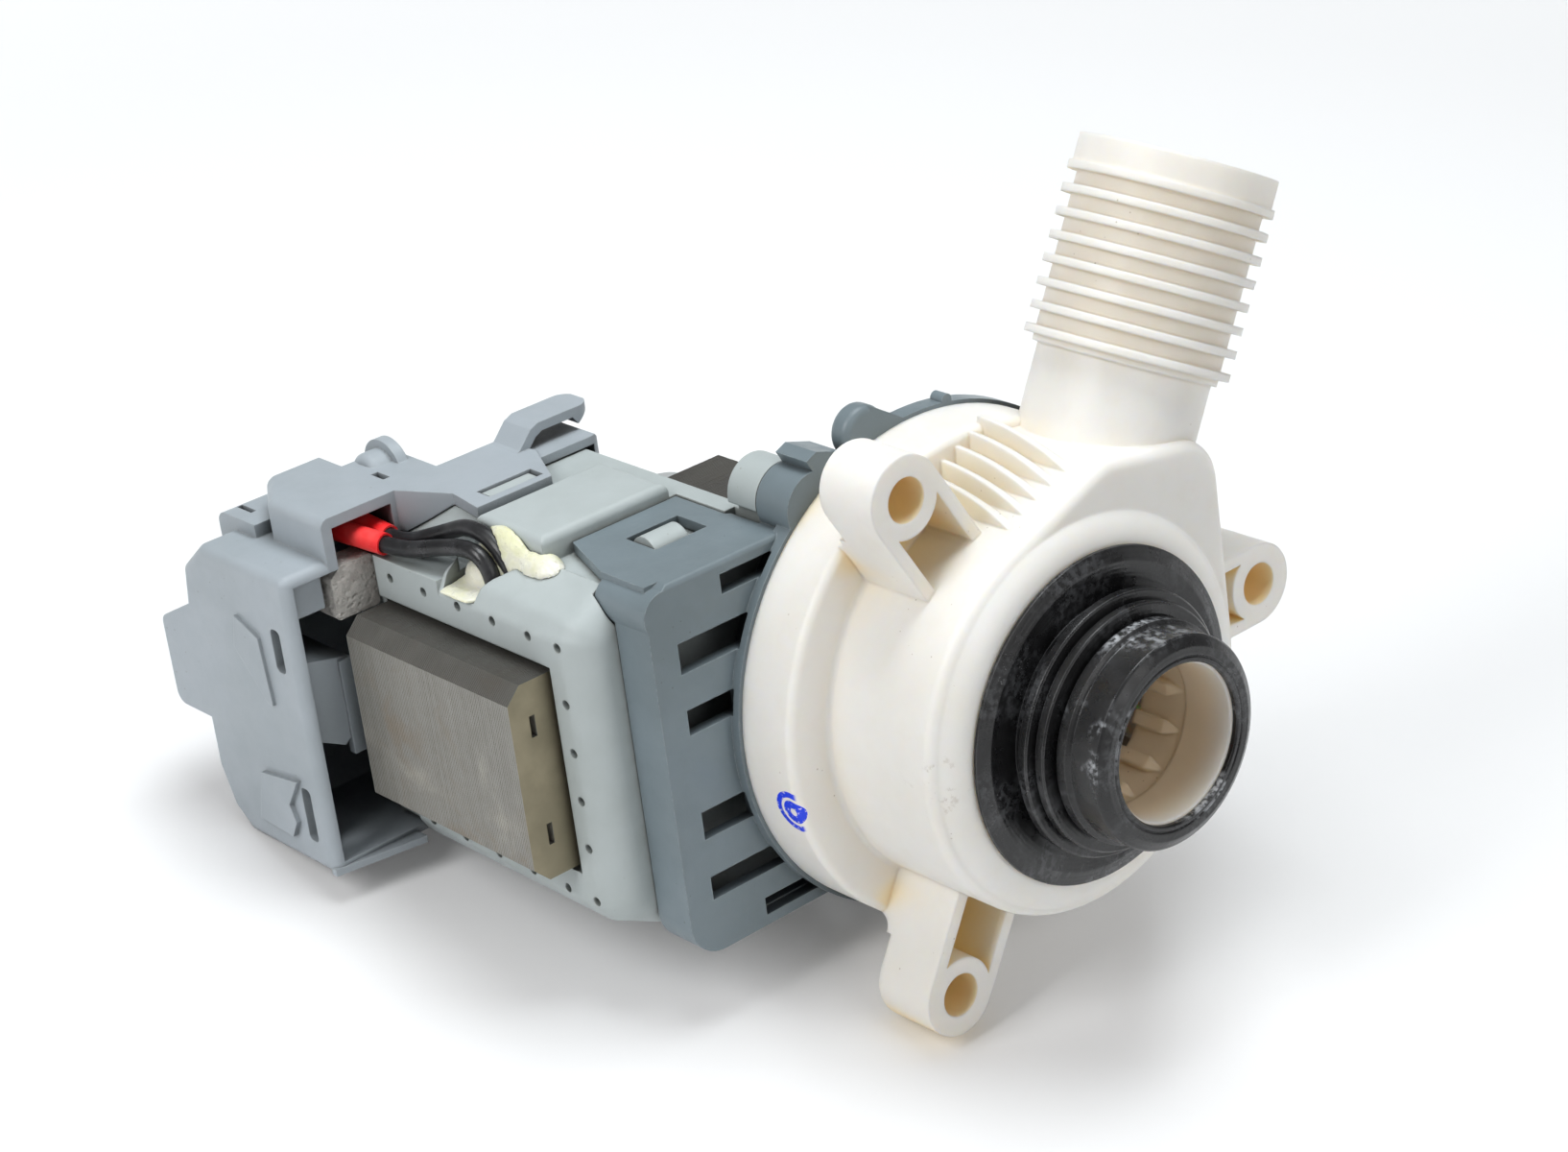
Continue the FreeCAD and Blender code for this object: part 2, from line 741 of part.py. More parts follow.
def make_bearing(x0, x1):
    return tube(x0, x1, bearing_r, shaft_r + running_fit)


def make_grommet(open_x, way):
    """Rubber cup round a bearing; way is +1 where the closed end faces +X."""
    closed_x = open_x + way * (bearing_len + grommet_t)
    cup = rod(open_x, closed_x, bearing_r + grommet_t)
    cup = cup.cut(rod(open_x - way, open_x + way * bearing_len, bearing_r + 0.02))
    return cup.cut(rod(open_x, closed_x + way, shaft_r + loose_gap))


def make_shaft():
    rear = rear_bearing_x - bearing_len + 0.3
    shaft = rod(shaft_front_x, rear, shaft_r)
    ends = [e for e in shaft.Edges if e.BoundBox.XLength < 1e-4]
    return shaft.makeChamfer(0.4, ends)


def make_rotor_hub():
    """Plastic core that carries the magnet on the shaft."""
    core = rod(hub_front_x, hub_rear_x, magnet_bore_r - 0.05)
    ends = fuse(core, rod(hub_front_x, magnet_front_x, hub_end_r),
                rod(magnet_rear_x, hub_rear_x, hub_end_r))
    return ends.cut(rod(hub_front_x + 1, hub_rear_x - 1, shaft_r + press_gap))


def sector(x0, x1, r_in, r_out, middle, angle):
    """Part of a ring along X, centred on an angle from +Y towards +Z."""
    ring = tube(x0, x1, r_out, r_in)
    reach = r_out * 3
    a0 = math.radians(middle - angle / 2)
    a1 = math.radians(middle + angle / 2)
    wedge = prism([(0, 0), (reach * math.cos(a0), reach * math.sin(a0)),
                   (reach * math.cos(a1), reach * math.sin(a1))], "X", min(x0, x1) - 1, max(x0, x1) + 1)
    return ring.common(wedge)


def make_drive_dog():
    """Dog pressed on the shaft; its wing pushes the impeller round."""
    wing = sector(dog_front_x, dog_rear_x, dog_r - 0.5, dog_wing_r, 90, dog_wing_angle)
    dog = fuse(rod(dog_front_x, dog_rear_x, dog_r), wing)
    return dog.cut(rod(cavity_front_x + 5, cavity_rear_x - 5, shaft_r + press_gap))


def make_impeller():
    disc = rod(impeller_back_x, impeller_back_x + impeller_disc_t, impeller_r)
    hub = rod(impeller_back_x, cavity_front_x + 5.0, impeller_hub_r)
    nose = [e for e in hub.Edges if e.BoundBox.XLength < 1e-4 and e.BoundBox.XMax > impeller_back_x + 1]
    hub = hub.makeFillet(3.0, nose)
    blades = []
    for i in range(blade_count):
        blade = prism([(impeller_back_x + 0.5, 1.0), (blade_front_x - 5, 1.0),
                       (blade_front_x - 3, impeller_hub_r), (blade_front_x, impeller_hub_r + 5),
                       (blade_front_x, impeller_r - 2.0), (blade_front_x - 2, impeller_r),
                       (impeller_back_x + 0.5, impeller_r)], "Z", -blade_t / 2, blade_t / 2)
        blade.rotate(V(0, 0, 0), X_AXIS, 360.0 / blade_count * i + 15)
        blades.append(blade)
    body = fuse(disc, hub, *blades)
    body = body.cut(rod(cavity_front_x, impeller_back_x - 1, hub_cavity_r))
    stop = sector(cavity_front_x + 0.5, cavity_rear_x + damper_t + 2 * seat_gap, dog_r + soft_gap,
                  hub_cavity_r + 0.5, -90, stop_angle)
    body = fuse(body, stop)
    return body.cut(rod(impeller_back_x - 1, cavity_front_x + 3.0, shaft_r + running_fit))


def make_impeller_cap():
    """Ring that closes the coupling cavity at the back of the impeller."""
    return tube(impeller_back_x, cavity_rear_x, hub_cavity_r - 0.05, shaft_r + running_fit)


def make_coupling_damper():
    """Rubber clip over the stop, with a pad on each flank."""
    pad_angle = math.degrees(damper_t / dog_wing_r)
    r_in, r_out = dog_r + soft_gap + 0.2, hub_cavity_r - seat_gap
    outer = sector(cavity_front_x - seat_gap, cavity_rear_x + seat_gap, r_in, r_out, -90,
                   stop_angle + 1.2 + 2 * pad_angle)
    stop_space = sector(cavity_front_x + 1, cavity_rear_x + damper_t + seat_gap, r_in - 1, r_out + 1, -90,
                        stop_angle + 1.2)
    return outer.cut(stop_space)


def make_core():
    """Stack of U-shaped laminations with the pole bore between the leg tips."""
    h, c = core_half_h, core_chamfer
    outline = prism([(core_tip_y, -h), (core_tip_y, h), (core_back_y + c, h), (core_back_y, h - c),
                     (core_back_y, -h + c), (core_back_y + c, -h)], "X", core_rear_x, core_front_x)
    window = box(core_rear_x - 1, core_front_x + 1, core_back_y + core_yoke, core_tip_y + 1, -core_window,
                 core_window)
    body = outline.cut(window).cut(rod(core_rear_x - 1, core_front_x + 1, pole_r))
    y = core_back_y + interlock_y
    for z in (-interlock_z, interlock_z):
        body = body.cut(box(core_front_x - interlock_depth, core_front_x + 1, y, y + interlock_w,
                            z - interlock_len / 2, z + interlock_len / 2))
    return body


def leg_box(grow_x, grow_z, y0, y1):
    """Block round the upper leg, grown by a wall."""
    return box(core_front_x + grow_x, core_rear_x - grow_x, y0, y1, leg_z0 - grow_z, core_half_h + grow_z)


def make_bobbin():
    """Upper bobbin: a tube round the leg with a flange at each end."""
    flange_out = coil_out + 0.4
    tube_part = leg_box(bobbin_out, bobbin_out, coil_front_y, coil_back_y)
    ends = [leg_box(flange_out, coil_out + 0.2, coil_front_y, coil_front_y + bobbin_flange_t),
            leg_box(flange_out, coil_out + 0.2, coil_back_y - bobbin_flange_t, coil_back_y)]
    hole = leg_box(bobbin_gap, bobbin_gap, coil_front_y - 1, coil_back_y + 1)
    return fuse(tube_part, *ends).cut(hole)


def make_coil():
    """Upper coil, wound between the flanges of its bobbin."""
    y0 = coil_front_y + bobbin_flange_t + 0.1
    y1 = coil_back_y - bobbin_flange_t - 0.1
    outer = along(leg_box(coil_out, coil_out - 0.2, y0, y1), "Y", 3.0)
    return outer.cut(leg_box(bobbin_out + 0.05, bobbin_out + 0.05, y0 - 1, y1 + 1))


def lower_half(solid):
    """The same piece on the lower leg."""
    return solid.mirror(V(0, 0, 0), Z_AXIS)


def make_thermal_protector():
    block = box(protector_x0, protector_x1, protector_y0, protector_y1, protector_z0, protector_z1)
    return along(block, "X", 1.2)


def mould_section(shelf):
    """Outline (y, z) of the resin body: a shelf for the leads at the rear, a shoulder at the front."""
    h, top, near, slope, far = mould_half_h, mould_top_z, mould_near_y, mould_slope_y, mould_far_y
    shoulder = [(near, h - mould_bevel_drop), (near + mould_bevel_y, h + mould_bevel_rise),
                (slope - mould_slope_run, top - mould_slope_drop), (slope + mould_slope_past, top)]
    upper = [(near, h), (mould_shelf_y, h), (slope, top)] if shelf else shoulder
    end = [(far - 1.5, top), (far, top - 1.5), (far, h - 4), (coil_back_y + 1.2, h - 4)]
    return upper + end + [(y, -z) for y, z in reversed(shoulder + end)]


def near_edges(solid, test):
    """Edges of the resin body along its near side that pass a test of their box."""
    limit = mould_slope_y + mould_slope_past + 0.1
    return [e for e in solid.Edges if e.BoundBox.YMax < limit and test(e.BoundBox)]


def grown(points, axis, start, end, gap):
    """Solid round a pushed outline, larger by a gap on every side."""
    solid = prism(points, axis, start, end)
    flat = [f for f in solid.Faces if f.BoundBox.XLength < 1e-6 and abs(f.BoundBox.XMin - start) < 1e-6][0]
    way = {"X": X_AXIS, "Y": Y_AXIS, "Z": Z_AXIS}[axis] * (end - start + 2 * gap)
    face = flat.makeOffset2D(gap)
    face.translate(V(-gap, 0, 0))
    return face.extrude(way)


def tail_box(gap):
    """The low end of the resin body that reaches into the rear cover."""
    return box(mould_tail_x + 1, mould_rear_x - gap, mould_near_y + 1.5 - gap, coil_back_y + 1.2 + gap,
               -tail_half_h - gap, tail_half_h + gap)


def hump_box(gap):
    return box(hump_x0 - gap, hump_x1 + gap, hump_y0 - gap, hump_y1 + gap, mould_half_h - 2,
               hump_top_z + gap)


def notch_outline(inset):
    """Outline (x, y) of the recess where the leads enter the resin."""
    return [(notch_rear_x + inset, mould_near_y - 1 + inset), (notch_rear_inner_x + inset, hump_y0 - inset),
            (notch_front_x - 2 * inset, hump_y0 - inset), (notch_corner_x - inset, notch_corner_y),
            (notch_mouth_x - inset, mould_near_y - 1 + inset)]


def boss_rod(x0, x1, r):
    """Round along X at the top far corner, shared by the bracket's knuckle and the resin's boss."""
    return rod(x0, x1, r, boss_y, boss_z)


def make_overmould():
    """Resin body round both coils, open at the yoke, with the teeth that hold bracket and cover."""
    front = prism(mould_section(False), "X", mould_step_x, mould_front_x)
    front = front.makeFillet(mould_round_r, near_edges(front, lambda b: b.XLength > mould_edge_r))
    front = front.makeFillet(mould_edge_r, near_edges(front, lambda b: b.XMin > mould_front_x - 0.01))
    rear = prism(mould_section(True), "X", mould_tail_x, mould_step_x)
    rear = rear.makeFillet(mould_round_r, near_edges(rear, lambda b: b.XLength > mould_edge_r and b.ZMax < 0))
    hump = rounded(hump_box(0), hump_edge_r, lambda p: p.z > hump_top_z - 0.01)
    body = fuse(front, rear, tail_box(0), hump)
    floor_z = bracket_top_z - tongue_t - 0.4
    recess = box(hump_x1, boss_front_x + 5, tongue_near_y - loose_gap, tongue_far_y + loose_gap, floor_z,
                 mould_top_z + 2)
    recess = recess.fuse(box(window_x1 - 2.2, boss_front_x + 5, tongue_near_y, tongue_root_y + 0.4, floor_z,
                             mould_top_z + 2))
    body = body.cut(recess)
    bead_rear_x = bracket_front_x - bead_len
    body = body.cut(rod(bead_rear_x - soft_gap, mould_front_x + 1, bead_r + soft_gap, bead_y, bead_z))
    body = body.cut(box(core_front_x + yoke_gap, core_rear_x - yoke_gap, mould_near_y - 1, coil_front_y - 0.2,
                        -core_half_h - yoke_gap, core_half_h + yoke_gap))
    for half in (lambda s: s, lower_half):
        body = body.cut(half(leg_box(coil_out + 0.7, coil_out + 0.4, coil_front_y - 0.3,
                                     coil_back_y + 0.3)))
        body = body.cut(half(leg_box(0.4, 0.4, coil_back_y, coil_back_y + 5)))
    body = body.cut(box(protector_x0 - 0.4, protector_x1 + 0.4, protector_y0 - 0.4, protector_y1 + 0.4,
                        protector_z0 - 2, protector_z1 + 0.4))
    body = body.cut(prism(notch_outline(0), "Z", notch_z, mould_top_z + 1))
    row = [dot_front_x] + [dot_next_x - dot_pitch * i for i in range(dot_count)]
    dots = [(x, side * dot_row_z) for x in row for side in (1, -1)]
    dots += [(dot_front_x, dot_side_z - dot_side_pitch * i) for i in range(4)]
    for x, z in dots:
        body = body.cut(Part.makeCylinder(dot_r, dot_depth + 1, V(x, mould_near_y - 1, z), Y_AXIS))
    key = Part.makeCylinder(key_r, key_y1 - key_y0, V(key_x, key_y0, key_z), Y_AXIS)
    boss = boss_rod(boss_front_x, boss_rear_x, boss_r).cut(recess)
    tooth = box(tooth_x0, tooth_x1, tooth_y0, tooth_y1, mould_top_z - 1, tooth_top_z)
    return fuse(body, key, boss, tooth)


def make_bracket():
    """Vented frame between the volute and the motor, with its disc, plates and ears."""
    fx, w = bracket_front_x, bracket_wall
    c = bracket_chamfer
    y0, y1, z0, z1 = bracket_near_y, bracket_far_y, bracket_bottom_z, bracket_top_z
    outline = [(y0, z0), (y0, bead_z), (y0 + 1.3, bead_z + 3.0), (bead_y, bead_z + bead_r),
               (bead_y + 1.5, z1), (y1 - c, z1), (y1, z1 - c), (y1, z0 + c), (y1 - c, z0)]
    shell = prism(outline, "X", fx - bracket_depth, fx)
    shell = shell.makeFillet(bracket_corner_r, [e for e in shell.Edges if e.BoundBox.YMax < y0 + 0.01
                                                and e.BoundBox.ZMax < z0 + 0.01])
    front_top = [e for e in shell.Edges if e.BoundBox.XMin > fx - 0.01 and e.BoundBox.ZMin > z1 - 0.01]
    shell = shell.makeFillet(bracket_top_edge_r, front_top)
    hollow = prism([(y0 + w, z0 + c + 1.5), (y0 + w, z1 - c - 0.6), (y0 + c + 0.8, z1 - w),
                    (y1 - c - 0.8, z1 - w), (y1 - w, z1 - c - 0.8), (y1 - w, z0 + c + 0.8),
                    (y1 - c - 0.8, z0 + w), (y0 + c + 1.0, z0 + w)], "X", fx - bracket_depth - 1, fx - w)
    frame = shell.cut(hollow)
    disc = rod(volute_rear_x, volute_rear_x - bracket_disc_t, bracket_disc_r)
    ring_rear_x = volute_rear_x - 1 - bracket_ring_len
    ring = tube(volute_rear_x - 1, ring_rear_x, seat_r, seat_r - bracket_ring_t)
    ring = ring.common(box(volute_rear_x, ring_rear_x, y0 + w + 2, y1 - w, z0 + 1, z1 - 1))
    tongue = prism([(fx - 2.5, tongue_near_y), (fx - 2.5, tongue_root_y),
                    (window_x1 - 0.2, tongue_root_y - 1.3), (window_x1 - 1.5, tongue_far_y),
                    (tongue_rear_x, tongue_far_y), (tongue_rear_x, tongue_rear_y),
                    (tongue_neck_x, tongue_near_y)], "Z", z1 - tongue_t, z1)
    tongue = tongue.cut(box(window_x0, window_x1, window_y0, window_y1, z1 - 5, z1 + 5))
    bead = rod(fx, fx - bead_len, bead_r, bead_y, bead_z)
    knuckle = boss_rod(volute_rear_x, knuckle_rear_x, knuckle_r)
    lip = prism([(lip_y - 0.6, lip_top_z - 4.3), (lip_y - 2.4, lip_top_z - 1.0), (lip_y, lip_top_z),
                 (lip_y + 5.4, lip_top_z - 1.8), (lip_y + 8.4, lip_top_z - 4.8),
                 (lip_y + 5.4, lip_top_z - 7.0)], "X", lip_rear_x, volute_rear_x)
    ear = rod(volute_rear_x, volute_rear_x - ear_len, ear_r, ear_y, ear_z)
    ear = ear.makeFillet(ear_edge_r, [e for e in ear.Edges if e.BoundBox.XLength < 1e-4])
    web = prism([(ear_y, ear_z), (ear_y + 1.4, ear_z + ear_r - 0.2), (ear_web_y, bracket_disc_r - 0.5),
                 (ear_web_y, bracket_disc_r - 4)], "X", volute_rear_x - ear_web_t, volute_rear_x)
    step = rod(volute_rear_x, volute_rear_x - ear_web_t, 1.2, 8.5, bracket_disc_r - 0.5)
    body = fuse(frame, disc, ring, tongue, bead, knuckle, lip, ear, web, step)
    vents = [(vent_mid_y - 0.7, vent_end_y - 0.5, 29.2, 32.9), (vent_near_y, vent_inner_y, 18.2, 24.0),
             (vent_near_y, vent_mid_y, 6.6, 11.4), (vent_near_y, vent_mid_y, -13.8, -8.4),
             (vent_near_y, vent_inner_y, -25.7, -21.2), (vent_mid_y - 0.3, vent_end_y + 0.5, -34.0, -30.6)]
    for va, vb, vc, vd in vents:
        body = body.cut(box(fx - w - 0.2, fx + 0.5, va, vb, vc, vd))
    body = body.cut(boss_rod(knuckle_rear_x, fx - bracket_depth - 5, boss_r + loose_gap))
    return body.cut(rod(volute_rear_x + 1, ring_rear_x, bracket_open_r))


def cover_shell():
    """Body of the rear cover with its plug socket, before the inside is taken out."""
    h, mx, rx, near, far = cover_half_h, cover_mouth_x, cover_rear_x, cover_near_y, cover_far_y
    shell = prism([(mx, -h), (mx, h), (rx + 9, h), (rx + 1.5, h - 6), (rx, cover_back_z1),
                   (rx, cover_back_z0), (rx + 3, -h + 4), (rx + 8, -h)], "Y", near, far)
    shell = along(shell, "Y", cover_edge_r)
    side = [e for e in shell.Edges if e.BoundBox.YMax < near + 1e-4 and e.BoundBox.XMin < mx - 0.01]
    shell = shell.makeFillet(cover_edge_r, side)
    socket = prism([(rx + 3, socket_z0), (socket_rear_x, socket_z0), (socket_rear_x, socket_z1 - 1.5),
                    (rx + 3, socket_z1 + 5)], "Y", near, socket_far_y)
    rear = [e for e in socket.Edges if e.BoundBox.XMax < socket_rear_x + 0.01 and e.BoundBox.YLength > 1]
    return shell, socket.makeFillet(socket_edge_r, rear)


def cover_cavity():
    h, w, mx, rx = cover_half_h, cover_wall, cover_mouth_x, cover_rear_x
    return prism([(mx + 1, -h + w), (mx + 1, h - w), (rx + 9 + w, h - w), (rx + 1.5 + w, h - 6 - w),
                  (rx + w, cover_back_z1), (rx + w, cover_back_z0), (rx + 3 + w, -h + 4 + w),
                  (rx + 8 + w, -h + w)], "Y", cover_near_y + w, cover_far_y - w)


def wire_box_outline(inset):
    """Outline (x, y) of the box over the leads, drawn in by a wall."""
    rear, y0, y1 = wire_box_rear_x + inset, wire_box_y0 + inset, wire_box_y1 - inset
    front = cover_mouth_x + (1 if inset else 0)
    slant = 0.4 * inset
    return [(front, y0), (wire_box_rear_x + wire_box_cut_x + slant, y0),
            (rear, wire_box_y0 + wire_box_cut_y + slant), (rear, y1), (front, y1)]


def make_hook():
    """Finger plate that rises from the far edge of the arm."""
    low, t, top = mould_top_z + 0.4, hook_t, hook_top_z
    y0, y1, y2 = hook_root_y, hook_bend_y, hook_end_y
    hook = prism([(y0, low), (y0, wire_box_top_z), (y0 + 0.7, wire_box_top_z + 0.3),
                  (y1 - 1.9, top - 0.8), (y1, top), (y2 - 0.1, top), (y2, top - 0.9),
                  (y2 - 3.5, top - 3.4), (y2 - 4.6, top - t), (y1 + 0.6, top - t),
                  (y1 - 1.0, top - t - 0.8), (y0 + 2.8, wire_box_top_z - 0.3), (y0 + 2.8, low)],
                 "X", hook_x0, hook_x1)
    return hook.common(along(box(hook_x0, hook_x1, y0 - 9, y2, low - 5, top + 5), "Z", clip_corner_r))


def make_clip():
    """Flap over the top of the resin body, with its end turned down at the far side."""
    low = mould_top_z + 0.4
    inner, outer = mould_far_y + 0.4, mould_far_y + 0.4 + clip_drop_t
    clip = prism([(hook_root_y, low), (hook_root_y, low + clip_t), (outer - 1.6, low + clip_t),
                  (outer, low + 0.2), (outer, clip_low_z), (inner, clip_low_z), (inner, low)],
                 "X", clip_x0, clip_x1)
    return clip.common(along(box(clip_x0, clip_x1, hook_root_y - 9, outer, clip_low_z - 5, low + 5), "Z",
                             clip_corner_r))


def make_rear_cover():
    """Thin shell over the leads and terminals, with the plug socket at the back."""
    h, w = cover_half_h, cover_wall
    mx, rx = cover_mouth_x, cover_rear_x
    near, far = cover_near_y, cover_far_y
    shell, socket = cover_shell()
    wire_box = prism(wire_box_outline(0), "Z", h - w, wire_box_top_z)
    wire_box = rounded(wire_box, 1.8, lambda p: p.z > wire_box_top_z - 0.01 and p.y < wire_box_y1 - 0.01)
    roof = box(mx, roof_rear_x, wire_box_y1 - 1, far, h - w, wire_box_top_z)
    back_hump = box(back_hump_x, wire_box_rear_x + 5, back_hump_y0, back_hump_y1, h - 4, back_hump_top_z)
    back_hump = rounded(back_hump, 2.5, lambda p: p.z > back_hump_top_z - 0.01 and p.x < wire_box_rear_x + 4)
    arm = prism([(arm_rear_x, arm_y0), (arm_bend_x, arm_y0), (arm_front_x, arm_front_y0),
                 (arm_front_x, arm_front_y1), (arm_corner_x, arm_y1), (arm_rear_x, arm_rear_y1)],
                "Z", mould_top_z + 0.4, wire_box_top_z)
    reach = arm_bend_x + 0.7
    gusset = prism([(mx, wire_box_y1 - 1), (reach, arm_y0 + 0.1), (reach, arm_y0 + 2), (mx, arm_y0 + 2)],
                   "Z", h, wire_box_top_z)
    gusset = gusset.cut(prism([(mx - 0.5, h - 1), (reach + 0.5, wire_box_top_z - 2), (reach + 0.5, h - 1)],
                              "Y", wire_box_y1 - 2, far))
    tab = Part.makeCylinder(tab_r, tab_t, V(tab_x, tab_y, tab_z), Y_AXIS)
    tab_root = Part.makeCylinder(tab_root_r, tab_root_len, V(tab_x, tab_y - tab_root_len, tab_z), Y_AXIS)
    root_y = tab_y - tab_root_len
    tab_root = tab_root.makeFillet(1.5, [e for e in tab_root.Edges if e.BoundBox.YMax < root_y + 0.01])
    lip = prism([(mx - 1.5, near), (mx, near), (cover_lip_x, cover_lip_y), (mx - 1.5, cover_lip_y)], "Z",
                -h, -h + 1.4)
    baffle = box(baffle_x0, baffle_x1, near + w - 0.2, baffle_y1, baffle_z0, h - w + 0.2)
    above = box(roof_rear_x - 6, mx, wire_box_y1 - 1, far, h, tab_z + tab_r + 1)
    body = fuse(shell, socket, wire_box, roof, back_hump, arm, gusset, make_hook(), make_clip(),
                tab.common(above), tab_root.common(above), lip)
    body = body.cut(cover_cavity())
    body = body.cut(prism(wire_box_outline(w), "Z", h - w - 1, wire_box_top_z - w))
    body = body.cut(tail_box(0.8))
    body = body.cut(grown(mould_section(True), "X", mould_tail_x, mould_step_x, 0.4))
    body = body.cut(box(socket_rear_x - 1, rx + w + 1, near + w, socket_far_y - w, socket_z0 + w,
                        socket_z1 - w))
    for z0, z1 in side_slot_zs:
        slot = box(side_slot_x0, side_slot_x1, near - 1, near + w + 0.5, z0, z1)
        body = body.cut(along(slot, "Y", 1.1))
    body = body.cut(box(tooth_x0 - 0.4, tooth_x1 + 0.4, tooth_y0 - 0.8, tooth_y1 + 0.8, mould_top_z - 5,
                        wire_box_top_z + 5))
    body = body.cut(box(roof_hole_x - 2, roof_hole_x + 2, roof_hole_y - 0.75, roof_hole_y + 0.75,
                        wire_box_top_z - 1.2, wire_box_top_z + 1))
    body = body.cut(box(wire_box_rear_x - 5.4, wire_box_rear_x - 0.6, back_hump_y0 + 3.0, back_hump_y0 + 4.2,
                        back_hump_top_z - 1.0, back_hump_top_z + 1))
    latch = prism([(latch_x0, latch_z0 + 0.5), (latch_x0 + 3.5, latch_z1 - 1.7), (latch_x1, latch_z1),
                   (latch_nose_x, latch_z1 - 6), (latch_nose_x + 1.4, latch_z0 + 3.6),
                   (latch_nose_x - 0.8, latch_z0)], "Y", near - 1.0, near + 0.5)
    wing = prism([(wing_x0 + 2, wing_z1), (wing_x1 - 1, wing_z1 - 2.8), (wing_x1, wing_z0),
                  (wing_x1 - 1.5, wing_z0), (wing_x0, wing_z1 - 6.8)], "Y", near - 0.7, near + 0.5)
    return fuse(body, baffle, latch, wing)


def make_terminal_carrier():
    """Insulating block that holds the two blades in line with the socket."""
    y0, y1, z0 = carrier_y0, carrier_y1, carrier_z0
    body = prism([(y0, z0), (y0, carrier_z1), (y1, carrier_z1 - 2.4), (y1, carrier_foot_z),
                  (y1 - 1.6, z0 - 1.2), (y1 - 4.1, z0 - 3.2)], "X", carrier_x0, carrier_x1)
    rib = box(carrier_x1 - 1, carrier_x1 + 0.7, y1 - 2.8, y1, carrier_foot_z, carrier_z1 - 2.4)
    inset = cover_wall + seat_gap
    plate = box(carrier_x0, carrier_x0 - 3, cover_near_y + inset, socket_far_y - inset,
                socket_z0 + inset, socket_z1 - inset)
    body = fuse(body, rib, plate)
    for z in blade_zs:
        body = body.cut(box(carrier_x0 - 5, carrier_slot_x, blade_y0 - 0.05, blade_y1 + 0.05,
                            z - blade_t_half - 0.05, z + blade_t_half + 0.05))
    return body


def make_terminal(z):
    """Flat blade in the carrier, with a rounded tip in the socket."""
    blade = box(blade_rear_x, carrier_slot_x - 0.5, blade_y0, blade_y1, z - blade_t_half, z + blade_t_half)
    rear = blade_rear_x + 0.1
    tip = [e for e in blade.Edges if e.BoundBox.ZLength > blade_t_half and e.BoundBox.XMax < rear]
    return blade.makeFillet(1.2, tip)


def make_cover_pad():
    """Foam block that stops the mouth beside the leads."""
    top_y0 = wire_box_y0 + cover_wall + 2 * soft_gap
    pad = prism([(pad_y0, pad_z0), (pad_y0, pad_top_z - 2), (top_y0, pad_top_z), (pad_y1, pad_top_z),
                 (pad_y1, pad_z0)], "X", pad_x0, pad_x1)
    return along(pad, "X", 0.8)


def lead_point(path, x):
    """Point of a lead's first straight run at a given x."""
    way = path[1] - path[0]
    return path[0] + way * ((x - path[0].x) / way.x)


def make_sleeve(path, ends):
    start, end = lead_point(path, ends[0]), lead_point(path, ends[1])
    way = end - start
    outer = Part.makeCylinder(sleeve_d / 2, way.Length, start, way)
    inner = Part.makeCylinder(lead_d / 2 + sleeve_gap, way.Length + 2, start - V(way).normalize(), way)
    return outer.cut(inner)


def make_potting(overmould):
    """Pool and mounds of sealing compound where the leads enter the motor."""
    lumps = [prism(notch_outline(0.05), "Z", notch_z + 0.05, potting_top_z)]
    for centre, half in potting_lumps:
        lump = Part.makeSphere(1.0)
        scale = FreeCAD.Matrix()
        scale.scale(*half)
        lump = lump.transformGeometry(scale)
        lump.translate(centre)
        lumps.append(lump.common(box(mould_rear_x, mould_front_x, mould_near_y, mould_far_y,
                                     notch_z + 0.05, 2 * mould_top_z)))
    mound = fuse(*lumps).cut(overmould)
    for path in lead_paths:
        mound = mound.cut(swept_tube(path, lead_d / 2 + 0.03))
    return largest(mound)


def save(name, shape):
    solids = shape.Solids
    shape = solids[0] if len(solids) == 1 else Part.makeCompound(solids)
    print(name, "solids", len(solids), "valid", shape.isValid(), "volume %.0f" % shape.Volume)
    shape.exportStep("parts/%s.step" % name)


os.makedirs("parts", exist_ok=True)
save("volute_housing", make_volute())
save("inlet_seal", make_inlet_seal())
save("rotor_can", make_rotor_can())
save("housing_o_ring", Part.makeTorus(seat_r - o_ring_d / 2 - 0.05, o_ring_d / 2, V(groove_x, 0, 0),
                                      X_AXIS))
save("front_bearing_holder", make_bearing_holder())
save("front_bearing", make_bearing(front_bearing_x, front_bearing_x + bearing_len))
save("rear_bearing", make_bearing(rear_bearing_x, rear_bearing_x - bearing_len))
save("front_bearing_grommet", make_grommet(front_bearing_x, 1))
save("rear_bearing_grommet", make_grommet(rear_bearing_x, -1))
save("front_thrust_washer", tube(front_washer_x, front_washer_x + washer_t, washer_r,
                                 shaft_r + running_fit))
save("rear_thrust_washer", tube(rear_washer_x, rear_washer_x - washer_t, washer_r, shaft_r + running_fit))
save("rotor_shaft", make_shaft())
save("rotor_hub", make_rotor_hub())
save("rotor_magnet", tube(magnet_front_x, magnet_rear_x, magnet_r, magnet_bore_r))
save("drive_dog", make_drive_dog())
save("impeller", make_impeller())
save("impeller_cap", make_impeller_cap())
save("coupling_damper", make_coupling_damper())
save("stator_core", make_core())
bobbin, coil = make_bobbin(), make_coil()
save("upper_bobbin", bobbin)
save("lower_bobbin", lower_half(bobbin))
save("upper_coil", coil)
save("lower_coil", lower_half(coil))
save("thermal_protector", make_thermal_protector())
overmould = make_overmould()
save("stator_overmould", overmould)
save("motor_bracket", make_bracket())
save("rear_cover", make_rear_cover())
save("terminal_carrier", make_terminal_carrier())
for i, z in enumerate(blade_zs):
    save("terminal_blade_%d" % (i + 1), make_terminal(z))
